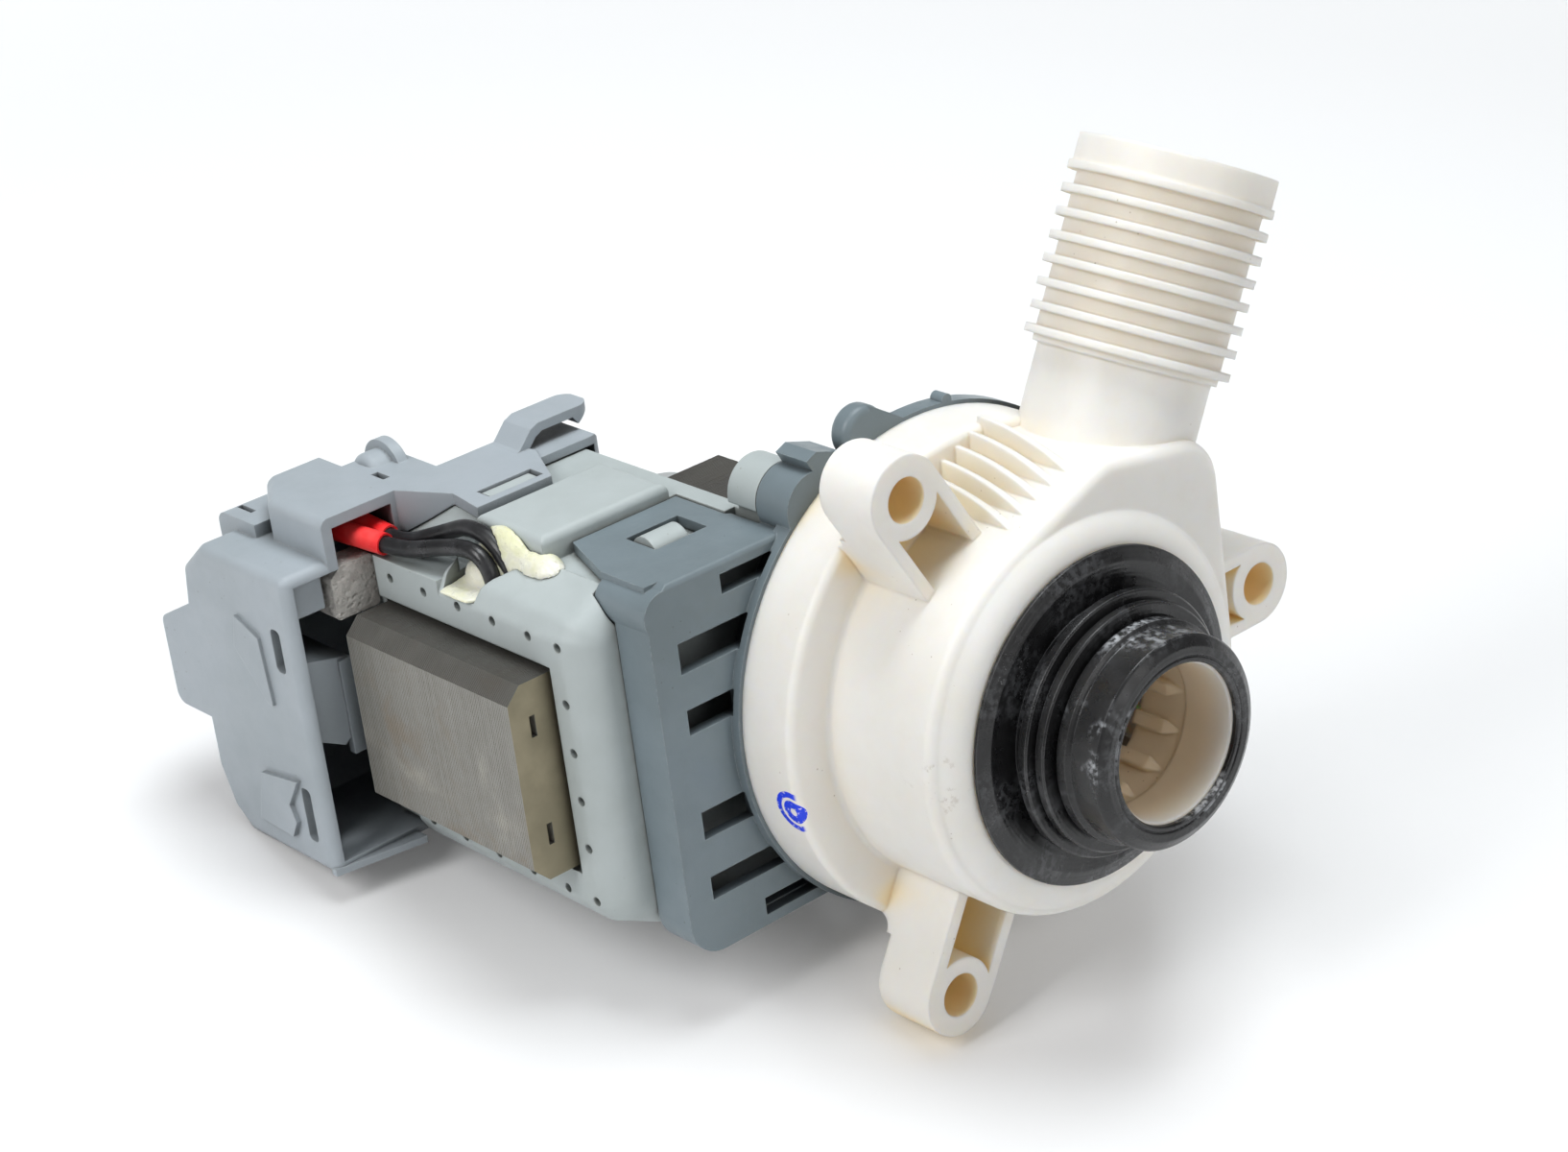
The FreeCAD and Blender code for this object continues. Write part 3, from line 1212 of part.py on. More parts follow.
save("cover_pad", make_cover_pad())
for i, path in enumerate(lead_paths):
    name = "lead_wire_%d" % (i + 1)
    save("red_sleeve_%d" % (i + 1), make_sleeve(path, sleeve_ends_x[i]))
    save(name, swept_tube(path, lead_d / 2, name))
save("potting_compound", make_potting(overmould))
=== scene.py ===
import math
import random

import bmesh
import bpy
from mathutils import Matrix, Vector


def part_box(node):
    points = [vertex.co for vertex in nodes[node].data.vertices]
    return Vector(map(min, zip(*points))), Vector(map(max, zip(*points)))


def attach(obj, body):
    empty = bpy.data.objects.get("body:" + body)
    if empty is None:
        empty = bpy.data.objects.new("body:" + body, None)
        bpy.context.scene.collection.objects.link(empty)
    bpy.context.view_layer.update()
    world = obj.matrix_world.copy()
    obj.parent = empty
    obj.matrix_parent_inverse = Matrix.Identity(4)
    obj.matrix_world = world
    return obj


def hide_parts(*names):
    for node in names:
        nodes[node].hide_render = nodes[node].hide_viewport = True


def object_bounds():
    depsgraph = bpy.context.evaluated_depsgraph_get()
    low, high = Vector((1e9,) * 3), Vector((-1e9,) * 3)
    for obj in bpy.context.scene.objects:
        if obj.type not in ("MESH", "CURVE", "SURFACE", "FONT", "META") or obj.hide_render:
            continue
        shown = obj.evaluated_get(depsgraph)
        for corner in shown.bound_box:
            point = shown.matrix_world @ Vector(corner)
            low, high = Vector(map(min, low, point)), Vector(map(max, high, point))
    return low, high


# A drain pump lying on a pale studio floor. Lengths are metres, in the frame of the part:
# +X along the pump axis out of the inlet, +Z up, the motor's yoke at -Y.

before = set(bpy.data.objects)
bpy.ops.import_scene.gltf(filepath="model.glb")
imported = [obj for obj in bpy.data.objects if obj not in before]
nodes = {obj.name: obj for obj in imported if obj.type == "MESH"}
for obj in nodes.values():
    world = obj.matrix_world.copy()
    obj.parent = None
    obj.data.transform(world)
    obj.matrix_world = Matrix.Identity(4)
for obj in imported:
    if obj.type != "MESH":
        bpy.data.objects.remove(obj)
cad_box = [list(corner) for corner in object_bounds()]
MM = 0.001
random.seed(7)

# View of the photograph: angles in degrees, and the camera's place along its own right, up and back
image_width_px = 1634
focal_px = 3658.0
sensor_width_mm = 36.0
view_azimuth = 51.63
view_elevation = 24.37
view_roll = -7.29
camera_distance = 591.1 * MM
camera_right = -65.77 * MM
camera_up = 28.11 * MM
camera_clip = (0.02, 50.0)

# Stator core: U-shaped sheets stacked along X
sheet_pitch = 0.50 * MM
sheet_gap = 0.08 * MM
sheet_shift = 0.008 * MM
core_window = 8.0 * MM
core_yoke = 13.0 * MM
core_chamfer = 3.0 * MM
pole_r = 16.2 * MM
pole_arc_steps = 14
interlock_zs = (-10.5 * MM, 10.5 * MM)
interlock_y = 4.6 * MM
interlock_size = (1.2 * MM, 4.1 * MM)
interlock_sheets = 3
flat_face_slot = 1

# Sealing compound: how far its mounds melt together, and the ripples of its skin
compound_voxel = 0.28 * MM
compound_smoothing = 0.6
compound_smoothings = 14
compound_ripple = 0.5 * MM
compound_ripple_size = 3.0 * MM
compound_ripple_level = 0.6

# Volute: its lugs and inlet with their painted amber glow and shade, and three marks on it, an inspector's
# ink ring, a speck and a smudge
lug_pitch_r = 54.95 * MM
lug_angles = (0.0, 120.0, 240.0)
lug_glow_r = 15.0 * MM
lug_glow_fade = 4.0 * MM
inlet_wall_r = 14.6 * MM
inlet_shade_x = (2.0 * MM, -7.0 * MM)
ink_centre = (-47.6 * MM, -45.3 * MM, -8.8 * MM)
ink_rings = (3.6 * MM, 1.6 * MM)
ink_strokes = (0.6 * MM, 0.8 * MM)
ink_gap_x = (1.6 * MM, 0.9 * MM)
speck_centre = (-19.9 * MM, 23.4 * MM, 24.0 * MM)
speck_r = 0.75 * MM
smudge_centre = (-19.5 * MM, -37.3 * MM, 1.0 * MM)
smudge_r = 9.0 * MM

# Inlet seal: turned rings, and the painted sheen on the nose in front of this place along X
seal_ring_pitch = 0.8 * MM
seal_sheen_x = (-8.5 * MM, -7.5 * MM)

# Coils
winding_pitch = 0.5 * MM

# Floor: paper under the pump that turns plain white away from the lamps
floor_reach = 6.0
floor_sink = 0.05 * MM
floor_lit_r = 0.40
floor_white_r = 2.5 * floor_lit_r
floor_glow = 0.08

# Rest on the floor: steepest tilt tried, in degrees, and halvings of the search
steepest_rest = 30.0
rest_halvings = 40

# Lamps: way from the part's middle as shares of the level view's right, up and back
neutral = (1.0, 1.0, 1.0)
lamps = {
    "overhead": {"way": (0.05, 1.0, -0.18), "distance": 0.95, "size": (0.5, 0.5), "watts": 7.3,
                 "colour": (0.94, 0.98, 1.0)},
    "left_box": {"way": (-0.8, 0.8, 0.55), "distance": 0.95, "size": (0.35, 0.5), "watts": 4.3,
                 "colour": neutral},
    "right_box": {"way": (1.0, 0.8, 0.9), "distance": 1.1, "size": (0.7, 0.7), "watts": 2.4,
                  "colour": neutral},
}
room_fill = 0.23
backdrop = 1.0

# Rays that a rounded edge or a deep corner is sampled with
trace_samples = 6


def rgb(red, green, blue):
    return (red, green, blue, 1.0)


class Finish:
    """A procedural material while its nodes are put together."""

    def __init__(self, name):
        self.material = bpy.data.materials.new(name)
        self.material.use_nodes = True
        self.tree = self.material.node_tree
        self.shader = self.tree.nodes["Principled BSDF"]
        self.place = self.add("ShaderNodeTexCoord").outputs["Object"]
        self.normal = None

    def add(self, kind, inputs=(), **settings):
        """A node with its settings, and its inputs set or linked."""
        node = self.tree.nodes.new(kind)
        for key, value in settings.items():
            setattr(node, key, value)
        for key, value in dict(inputs).items():
            self.feed(node.inputs[key], value)
        return node

    def feed(self, socket, value):
        if isinstance(value, bpy.types.NodeSocket):
            self.tree.links.new(value, socket)
        else:
            socket.default_value = value

    def set(self, **values):
        """Set or link inputs of the surface shader; underscores stand for spaces."""
        for key, value in values.items():
            self.feed(self.shader.inputs[key.replace("_", " ")], value)

    def math(self, operation, a, b=0.0):
        return self.add("ShaderNodeMath", {0: a, 1: b}, operation=operation).outputs["Value"]

    def product(self, first, *others):
        for other in others:
            first = self.math("MULTIPLY", first, other)
        return first

    def near_value(self, value, wanted, reach):
        """1 where the value is within reach of the wanted one."""
        inputs = {0: value, 1: wanted, 2: reach}
        return self.add("ShaderNodeMath", inputs, operation="COMPARE").outputs["Value"]

    def remap(self, value, low, high, to_low=0.0, to_high=1.0):
        inputs = {"Value": value, "From Min": low, "From Max": high, "To Min": to_low, "To Max": to_high}
        node = self.add("ShaderNodeMapRange", inputs, interpolation_type="SMOOTHSTEP")
        return node.outputs["Result"]

    def mix(self, factor, a, b):
        """Colour a where the factor is 0, colour b where it is 1."""
        node = self.add("ShaderNodeMix", data_type="RGBA")
        for socket, value in zip((node.inputs[0], node.inputs[6], node.inputs[7]), (factor, a, b)):
            self.feed(socket, value)
        return node.outputs[2]

    def stretched(self, scale):
        """Object coordinates stretched along the axes."""
        return self.add("ShaderNodeMapping", {"Vector": self.place, "Scale": scale}).outputs["Vector"]

    def noise(self, scale, detail=4.0, roughness=0.55, vector=None, distortion=0.0):
        inputs = {"Vector": vector or self.place, "Scale": scale, "Detail": detail, "Roughness": roughness,
                  "Distortion": distortion}
        return self.add("ShaderNodeTexNoise", inputs).outputs["Fac"]

    def patches(self, scale, low, high, weak=0.0, strong=1.0, **noise):
        """Soft-edged patches: weak where the noise is under low, strong where it is over high."""
        return self.remap(self.noise(scale, **noise), low, high, weak, strong)

    def cells(self, scale):
        """Distance from scattered points."""
        inputs = {"Vector": self.place, "Scale": scale}
        return self.add("ShaderNodeTexVoronoi", inputs).outputs["Distance"]

    def coordinates(self):
        return self.add("ShaderNodeSeparateXYZ", {"Vector": self.place}).outputs

    def facing(self):
        """The surface's own direction along the axes."""
        normal = self.add("ShaderNodeTexCoord").outputs["Normal"]
        return self.add("ShaderNodeSeparateXYZ", {"Vector": normal}).outputs

    def vector_math(self, operation, a, b):
        return self.add("ShaderNodeVectorMath", {0: a, 1: b}, operation=operation).outputs

    def distance_to(self, point):
        return self.vector_math("DISTANCE", self.place, point)["Value"]

    def axis_distance(self):
        """Distance from the pump axis."""
        xyz = self.coordinates()
        square = self.math("ADD", self.product(xyz["Y"], xyz["Y"]), self.product(xyz["Z"], xyz["Z"]))
        return self.math("SQRT", square)

    def nearest_lug(self):
        """Distance from the nearest lug's own axis."""
        flat = self.vector_math("MULTIPLY", self.place, (0.0, 1.0, 1.0))[0]
        near = None
        for turn in map(math.radians, lug_angles):
            lug = (0.0, lug_pitch_r * math.cos(turn), lug_pitch_r * math.sin(turn))
            away = self.vector_math("DISTANCE", flat, lug)["Value"]
            near = self.math("MINIMUM", near, away) if near else away
        return near

    def soft_edges(self, radius):
        """Rounded edges for the shading, and a mask of those edges."""
        self.normal = self.add("ShaderNodeBevel", {"Radius": radius}, samples=trace_samples).outputs["Normal"]
        flat = self.add("ShaderNodeNewGeometry").outputs["Normal"]
        return self.remap(self.vector_math("DOT_PRODUCT", self.normal, flat)["Value"], 0.995, 0.80)

    def openness(self, distance):
        """1 on open faces, 0 where everything round a point is closed in."""
        node = self.add("ShaderNodeAmbientOcclusion", {"Distance": distance}, samples=trace_samples)
        return node.outputs["AO"]

    def crevice(self, distance):
        """1 in deep corners, 0 on open faces."""
        return self.remap(self.openness(distance), 0.85, 0.25)

    def bump(self, height, distance, strength=1.0):
        inputs = {"Height": height, "Distance": distance, "Strength": strength}
        if self.normal:
            inputs["Normal"] = self.normal
        self.normal = self.add("ShaderNodeBump", inputs).outputs["Normal"]
        self.set(Normal=self.normal)

    def moulded_grain(self, grain, scratch, squeeze, scratch_share, depth):
        """Bump of fine grain, with scratches that run across the pump axis."""
        streaks = self.noise(scratch, 2, 0.5, self.stretched((squeeze, 1.0, 2.0)))
        scratches = self.product(self.remap(streaks, 0.60, 0.66), scratch_share)
        self.bump(self.math("ADD", self.noise(grain, 3), scratches), depth, 0.8)


# Plastics


def moulded(name, clean, aged, wear_and_highlight, dirt_and_corner_shade, roughness=0.48, edge=0.35 * MM, corner_shade_amount=0.6, hollow_shade=0.0):
    """Moulded plastic: slow colour drift, fine grain, edge wear with a painted highlight, painted shade in
    the corners and a few specks.

    The last argument sets how near the painted shade comes to black in hollows that are closed in all round.
    """
    # Colour of the painted shade deep inside hollows
    hollow_shade_colour = rgb(0.012, 0.013, 0.014)
    f = Finish(name)
    base = f.mix(f.patches(28, 0.35, 0.68, detail=5, roughness=0.6), clean, aged)
    base = f.mix(f.patches(160, 0.42, 0.75, 0.0, 0.35, detail=6, roughness=0.65), base, aged)
    # Edges lighter in patches: wear, and a painted highlight along the edges
    rubbed_and_highlit = f.product(f.soft_edges(edge), f.patches(900, 0.35, 0.6, 0.25, 0.9, detail=3))
    base = f.mix(rubbed_and_highlit, base, wear_and_highlight)
    # Darker in closed-in corners: painted shade
    corner = f.product(f.crevice(4 * MM), f.patches(300, 0.3, 0.7, 0.35, 1.0, detail=5), corner_shade_amount)
    base = f.mix(corner, base, dirt_and_corner_shade)
    speck = f.product(f.remap(f.cells(420), 0.10, 0.05), f.patches(60, 0.56, 0.62, detail=2), 0.55)
    base = f.mix(speck, base, dirt_and_corner_shade)
    if hollow_shade:
        # Near-black painted shade where a point is closed in all round
        deep = f.remap(f.openness(30 * MM), 0.42, 0.10)
        base = f.mix(f.product(deep, hollow_shade), base, hollow_shade_colour)
    f.set(Base_Color=base, Specular_IOR_Level=0.45,
          Roughness=f.patches(220, 0.3, 0.7, roughness - 0.06, roughness + 0.10, detail=5))
    f.moulded_grain(grain=2600, scratch=120, squeeze=14.0, scratch_share=0.35, depth=0.02 * MM)
    return f.material


def impeller_plastic():
    return moulded("impeller_plastic", clean=rgb(0.74, 0.70, 0.61), aged=rgb(0.68, 0.62, 0.52),
                   wear_and_highlight=rgb(0.80, 0.77, 0.70), dirt_and_corner_shade=rgb(0.30, 0.22, 0.12), roughness=0.45)


def bracket_plastic():
    return moulded("bracket_plastic", clean=rgb(0.185, 0.230, 0.255), aged=rgb(0.152, 0.190, 0.208),
                   wear_and_highlight=rgb(0.36, 0.41, 0.43), dirt_and_corner_shade=rgb(0.075, 0.083, 0.083), roughness=0.36,
                   edge=0.3 * MM, corner_shade_amount=0.5, hollow_shade=0.9)


def cover_plastic():
    return moulded("cover_plastic", clean=rgb(0.372, 0.414, 0.450), aged=rgb(0.332, 0.372, 0.400),
                   wear_and_highlight=rgb(0.49, 0.525, 0.555), dirt_and_corner_shade=rgb(0.17, 0.17, 0.16), roughness=0.44,
                   corner_shade_amount=0.5, hollow_shade=0.9)


def resin_body():
    return moulded("resin_body", clean=rgb(0.445, 0.492, 0.494), aged=rgb(0.395, 0.438, 0.434),
                   wear_and_highlight=rgb(0.56, 0.595, 0.585), dirt_and_corner_shade=rgb(0.20, 0.20, 0.16), roughness=0.46,
                   edge=0.5 * MM, corner_shade_amount=0.5, hollow_shade=0.7)


def plain_plastic(name, colour):
    """Plastic or rubber in one colour, its drift, its wear with painted highlight, and its specks with
    painted corner shade all taken from that colour.
    """
    aged, wear_and_highlight, dirt_and_corner_shade = ([min(1.0, share * c) for c in colour] for share in (0.8, 1.15, 0.4))
    return moulded(name, rgb(*colour), rgb(*aged), rgb(*wear_and_highlight), rgb(*dirt_and_corner_shade))


def cream_plastic():
    """Volute: milky cream plastic with painted amber glow in its deep pockets, painted highlights on its
    edges, and three small marks.
    """
    f = Finish("cream_plastic")
    base = f.mix(f.patches(26, 0.35, 0.68, detail=5, roughness=0.6), rgb(0.84, 0.822, 0.79),
                 rgb(0.81, 0.782, 0.73))
    base = f.mix(f.patches(170, 0.45, 0.75, 0.0, 0.4, detail=6, roughness=0.65), base,
                 rgb(0.80, 0.765, 0.69))
    # Rounded edges painted paler: painted highlight
    base = f.mix(f.product(f.soft_edges(0.9 * MM), 0.5), base, rgb(0.90, 0.885, 0.86))
    base = painted_amber_glow(f, base)
    base = volute_dirt(f, base)
    base = volute_marks(f, base)
    f.set(Base_Color=base, Roughness=f.patches(220, 0.3, 0.7, 0.36, 0.52, detail=5), Specular_IOR_Level=0.45)
    f.set(Subsurface_Weight=0.40, Subsurface_Radius=(1.0, 0.80, 0.52), Subsurface_Scale=3.8 * MM)
    f.moulded_grain(grain=2400, scratch=110, squeeze=12.0, scratch_share=0.3, depth=0.018 * MM)
    return f.material


def painted_amber_glow(f, base):
    """Painted glow and shade: amber in the lugs' pockets, and a toffee shade that grows further into the
    inlet.
    """
    by_lug = f.remap(f.nearest_lug(), lug_glow_r + lug_glow_fade, lug_glow_r, 0.22, 0.88)
    # Painted amber glow in the deep pockets near the lugs
    base = f.mix(f.product(f.crevice(11 * MM), by_lug), base, rgb(0.93, 0.70, 0.30))
    # Painted toffee shade inside the inlet, stronger further in
    inside = f.math("LESS_THAN", f.axis_distance(), inlet_wall_r)
    further_in_shade = f.remap(f.coordinates()["X"], *inlet_shade_x)
    return f.mix(f.product(inside, further_in_shade, 0.85), base, rgb(0.87, 0.69, 0.48))


def volute_dirt(f, base):
    """A smudge on the front and scattered dust."""
    near_smudge = f.remap(f.distance_to(smudge_centre), smudge_r, 0.2 * smudge_r)
    smudge = f.product(near_smudge, f.patches(330, 0.56, 0.72, detail=5, roughness=0.7), 0.55)
    base = f.mix(smudge, base, rgb(0.34, 0.27, 0.19))
    dust = f.product(f.remap(f.cells(430), 0.09, 0.05), f.patches(60, 0.58, 0.64, detail=2), 0.5)
    return f.mix(dust, base, rgb(0.30, 0.22, 0.14))


def volute_marks(f, base):
    """Blue ink ring, open towards the inlet, round an inked spot, and one red speck."""
    away = f.distance_to(ink_centre)
    outer_ring, inner_ring = (f.near_value(away, r, stroke) for r, stroke in zip(ink_rings, ink_strokes))
    rear_part = f.remap(f.coordinates()["X"], *(ink_centre[0] + x for x in ink_gap_x))
    ink = f.math("MAXIMUM", f.product(outer_ring, rear_part), inner_ring)
    base = f.mix(f.product(ink, f.patches(1500, 0.30, 0.45, detail=3)), base, rgb(0.004, 0.045, 0.80))
    speck = f.math("LESS_THAN", f.distance_to(speck_centre), speck_r)
    speck = f.product(speck, f.patches(1400, 0.40, 0.50, detail=2))
    return f.mix(speck, base, rgb(0.10, 0.012, 0.012))


# Rubber, foam, insulation and compound


def seal_rubber():
    """Black rubber: satin skin, ridges paler from wear and a painted highlight, pale powder, a faint film,
    and a painted sheen on the nose's upper side.
    """
    f = Finish("seal_rubber")
    bloom = f.patches(110, 0.46, 0.72, detail=6, roughness=0.7)
    base = f.mix(bloom, rgb(0.008, 0.008, 0.0085), rgb(0.020, 0.020, 0.0215))
    edges = f.soft_edges(0.30 * MM)
    streaks = f.remap(f.noise(60, 5, 0.6, f.stretched((7.0, 1.0, 1.0))), 0.34, 0.60, 0.25, 1.0)
    # Edges and ridges paler in streaks: wear, and a painted highlight
    base = f.mix(f.product(edges, streaks), base, rgb(0.12, 0.12, 0.125))
    # Faint pale film all over; on the nose's upper, lit side it grows into a painted sheen
    film = f.product(f.patches(48, 0.46, 0.60, roughness=0.65), f.patches(800, 0.40, 0.62))
    nose_sheen_band = f.remap(f.coordinates()["X"], *seal_sheen_x)
    facing = f.facing()
    painted_sheen_side = f.remap(f.math("SUBTRACT", facing["Z"], f.product(facing["Y"], 0.8)), 0.4, 1.05)
    film = f.math("MAXIMUM", f.product(film, 0.10), f.product(film, nose_sheen_band, painted_sheen_side))
    base = f.mix(film, base, rgb(0.46, 0.475, 0.50))
    powder = f.product(f.patches(2600, 0.66, 0.72, detail=2), f.patches(85, 0.50, 0.66, detail=3), 0.45)
    base = f.mix(powder, base, rgb(0.30, 0.30, 0.31))
    f.set(Base_Color=base, Roughness=f.patches(140, 0.35, 0.66, 0.20, 0.40, detail=5), Specular_IOR_Level=0.5)
    rings = f.math("SINE", f.product(f.axis_distance(), 2 * math.pi / seal_ring_pitch))
    f.bump(f.math("ADD", f.product(rings, 0.12), f.noise(1500, 5, 0.65)), 0.045 * MM, 0.9)
    return f.material


def foam():
    """Grey closed-cell foam with a pitted, dusty skin."""
    f = Finish("pad_foam")
    pits = f.remap(f.cells(900), 0.05, 0.45)
    lumps = f.noise(500, 5, 0.7)
    base = f.mix(f.remap(lumps, 0.35, 0.65), rgb(0.36, 0.345, 0.32), rgb(0.50, 0.482, 0.45))
    base = f.mix(f.patches(1300, 0.66, 0.72, detail=2), base, rgb(0.66, 0.64, 0.60))
    f.set(Base_Color=base, Roughness=0.85)
    f.bump(f.math("ADD", lumps, f.product(pits, 0.5)), 0.35 * MM)
    return f.material


def wire_skin(name, colour, pale, roughness):
    """Smooth insulation with light dust and scuffs."""
    f = Finish(name)
    scuff = f.patches(700, 0.58, 0.72, roughness=0.6)
    film = f.patches(180, 0.42, 0.70, 0.0, 0.5)
    f.set(Base_Color=f.mix(f.math("MAXIMUM", scuff, film), colour, pale),
          Roughness=f.patches(260, 0.3, 0.7, roughness - 0.05, roughness + 0.12))
    f.bump(f.noise(1500, 3), 0.02 * MM, 0.6)
    return f.material


def sealing_compound():
    """Cured cream compound: glossy, with ripples, bubbles and a green-yellow tint in places."""
    f = Finish("sealing_compound")
    base = f.mix(f.patches(150, 0.40, 0.66), rgb(0.82, 0.81, 0.70), rgb(0.74, 0.74, 0.50))
    grime = f.patches(420, 0.60, 0.76, 0.0, 0.6, detail=5, roughness=0.65)
    base = f.mix(grime, base, rgb(0.34, 0.32, 0.22))
    f.set(Base_Color=base, Roughness=f.patches(300, 0.3, 0.7, 0.22, 0.42, detail=3))
    f.set(Subsurface_Weight=0.25, Subsurface_Radius=(1.0, 0.9, 0.5), Subsurface_Scale=1.5 * MM)
    bubbles = f.remap(f.cells(1100), 0.0, 0.30)
    f.bump(f.math("ADD", f.noise(420, 4), f.product(bubbles, 0.25)), 0.25 * MM, 0.8)
    return f.material


# Metals


def sheet_steel():
    """Cut edges of the sheets: dull grey steel with brown stains, each sheet a little different, and painted
    shade on faces that look up.
    """
    f = Finish("sheet_steel")
    sheet = f.math("FLOOR", f.math("DIVIDE", f.coordinates()["X"], sheet_pitch))
    tone = f.add("ShaderNodeTexWhiteNoise", {"W": sheet}, noise_dimensions="1D").outputs["Value"]
    base = f.mix(f.remap(tone, 0.0, 1.0), rgb(0.258, 0.251, 0.226), rgb(0.288, 0.280, 0.254))
    stain = f.patches(45, 0.48, 0.66, detail=6, roughness=0.68, distortion=0.7)
    base = f.mix(f.product(stain, 0.5), base, rgb(0.235, 0.170, 0.110))
    pale = f.patches(60, 0.54, 0.72, detail=5, roughness=0.6, distortion=0.5)
    base = f.mix(f.product(pale, 0.65), base, rgb(0.44, 0.415, 0.365))
    # Faces that look up painted darker: painted shade
    painted_top_shade = f.remap(f.facing()["Z"], 0.1, 0.95)
    base = f.mix(f.product(painted_top_shade, 0.85), base, rgb(0.062, 0.060, 0.055))
    f.set(Base_Color=base, Metallic=0.35, Roughness=f.patches(400, 0.3, 0.7, 0.40, 0.58))
    f.bump(f.noise(4200, 3, 0.6, f.stretched((1.0, 1.0, 0.5))), 0.025 * MM, 0.8)
    return f.material


def end_sheet_varnish():
    """Flat faces of the sheets, with their khaki varnish and painted shade in their corners."""
    f = Finish("end_sheet_varnish")
    base = f.mix(f.patches(70, 0.35, 0.65), rgb(0.345, 0.300, 0.200), rgb(0.245, 0.215, 0.140))
    # Near-black painted shade in the corners
    base = f.mix(f.product(f.crevice(5 * MM), 0.7), base, rgb(0.04, 0.036, 0.025))
    f.set(Base_Color=base, Metallic=0.35, Roughness=f.patches(300, 0.3, 0.7, 0.36, 0.52))
    f.bump(f.noise(1400, 4), 0.015 * MM, 0.6)
    return f.material


def metal(name, colour, roughness, grain):
    """Bare metal with fine marks along one direction and a faint tarnish."""
    f = Finish(name)
    tarnished = [0.55 * c for c in colour]
    base = f.mix(f.patches(90, 0.4, 0.7, 0.0, 0.4), rgb(*colour), rgb(*tarnished))
    f.set(Base_Color=base, Metallic=1.0,
          Roughness=f.patches(300, 0.3, 0.7, roughness - 0.05, roughness + 0.1, detail=3))
    f.bump(f.noise(2600, 3, 0.5, f.stretched(grain)), 0.01 * MM, 0.7)
    return f.material


def winding():
    """Enamelled wire, seen as fine turns, each painted lighter on its crest and darker in the shade between
    turns.
    """
    f = Finish("winding")
    turns = f.math("SINE", f.product(f.coordinates()["Y"], 2 * math.pi / winding_pitch))
    # Painted light and shade: each turn lighter on its crest, darker in the groove between turns
    base = f.mix(f.remap(turns, -1.0, 1.0), rgb(0.24, 0.08, 0.03), rgb(0.60, 0.26, 0.10))
    f.set(Base_Color=base, Metallic=0.8, Roughness=0.32)
    f.bump(turns, 0.2 * MM)
    return f.material


# Pieces


def dress(material, *names):
    """Give CAD nodes their material."""
    for name in names:
        mesh = nodes[name].data
        mesh.materials.clear()
        mesh.materials.append(material)


def dress_nodes():
    lead = wire_skin("lead_insulation", rgb(0.010, 0.010, 0.011), rgb(0.045, 0.046, 0.050), 0.28)
    sleeve = wire_skin("sleeve_red", rgb(0.90, 0.022, 0.026), rgb(0.95, 0.12, 0.11), 0.34)
    tin = metal("tinned_blade", (0.62, 0.61, 0.58), 0.32, (1.0, 8.0, 8.0))
    steel = metal("shaft_steel", (0.60, 0.61, 0.63), 0.22, (1.0, 12.0, 12.0))
    rubber = plain_plastic("soft_rubber", (0.03, 0.03, 0.03))
    can = plain_plastic("can_plastic", (0.50, 0.52, 0.52))
    carbon = plain_plastic("bearing_carbon", (0.05, 0.05, 0.055))
    washer = plain_plastic("washer_plastic", (0.70, 0.62, 0.40))
    hub = plain_plastic("hub_plastic", (0.68, 0.67, 0.62))
    ferrite = plain_plastic("magnet_ferrite", (0.06, 0.06, 0.065))
    protector = plain_plastic("protector_case", (0.04, 0.04, 0.045))
    dress(cream_plastic(), "volute_housing")
    dress(seal_rubber(), "inlet_seal")
    dress(bracket_plastic(), "motor_bracket")
    dress(cover_plastic(), "rear_cover", "terminal_carrier")
    dress(resin_body(), "stator_overmould")
    dress(foam(), "cover_pad")
    dress(lead, "lead_wire_1", "lead_wire_2")
    dress(sleeve, "red_sleeve_1", "red_sleeve_2")
    dress(tin, "terminal_blade_1", "terminal_blade_2")
    dress(rubber, "housing_o_ring", "front_bearing_grommet", "rear_bearing_grommet", "coupling_damper")
    dress(can, "rotor_can", "front_bearing_holder")
    dress(carbon, "front_bearing", "rear_bearing")
    dress(washer, "front_thrust_washer", "rear_thrust_washer")
    dress(steel, "rotor_shaft")
    dress(hub, "rotor_hub", "drive_dog", "upper_bobbin", "lower_bobbin")
    dress(ferrite, "rotor_magnet")
    dress(impeller_plastic(), "impeller", "impeller_cap")
    dress(winding(), "upper_coil", "lower_coil")
    dress(protector, "thermal_protector")


def new_piece(name, mesh, materials, body, replaced):
    """Link a finished mesh as a piece that rides on a body, in place of CAD nodes."""
    piece = bpy.data.objects.new(name, mesh)
    bpy.context.scene.collection.objects.link(piece)
    for material in materials:
        mesh.materials.append(material)
    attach(piece, body)
    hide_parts(*replaced)


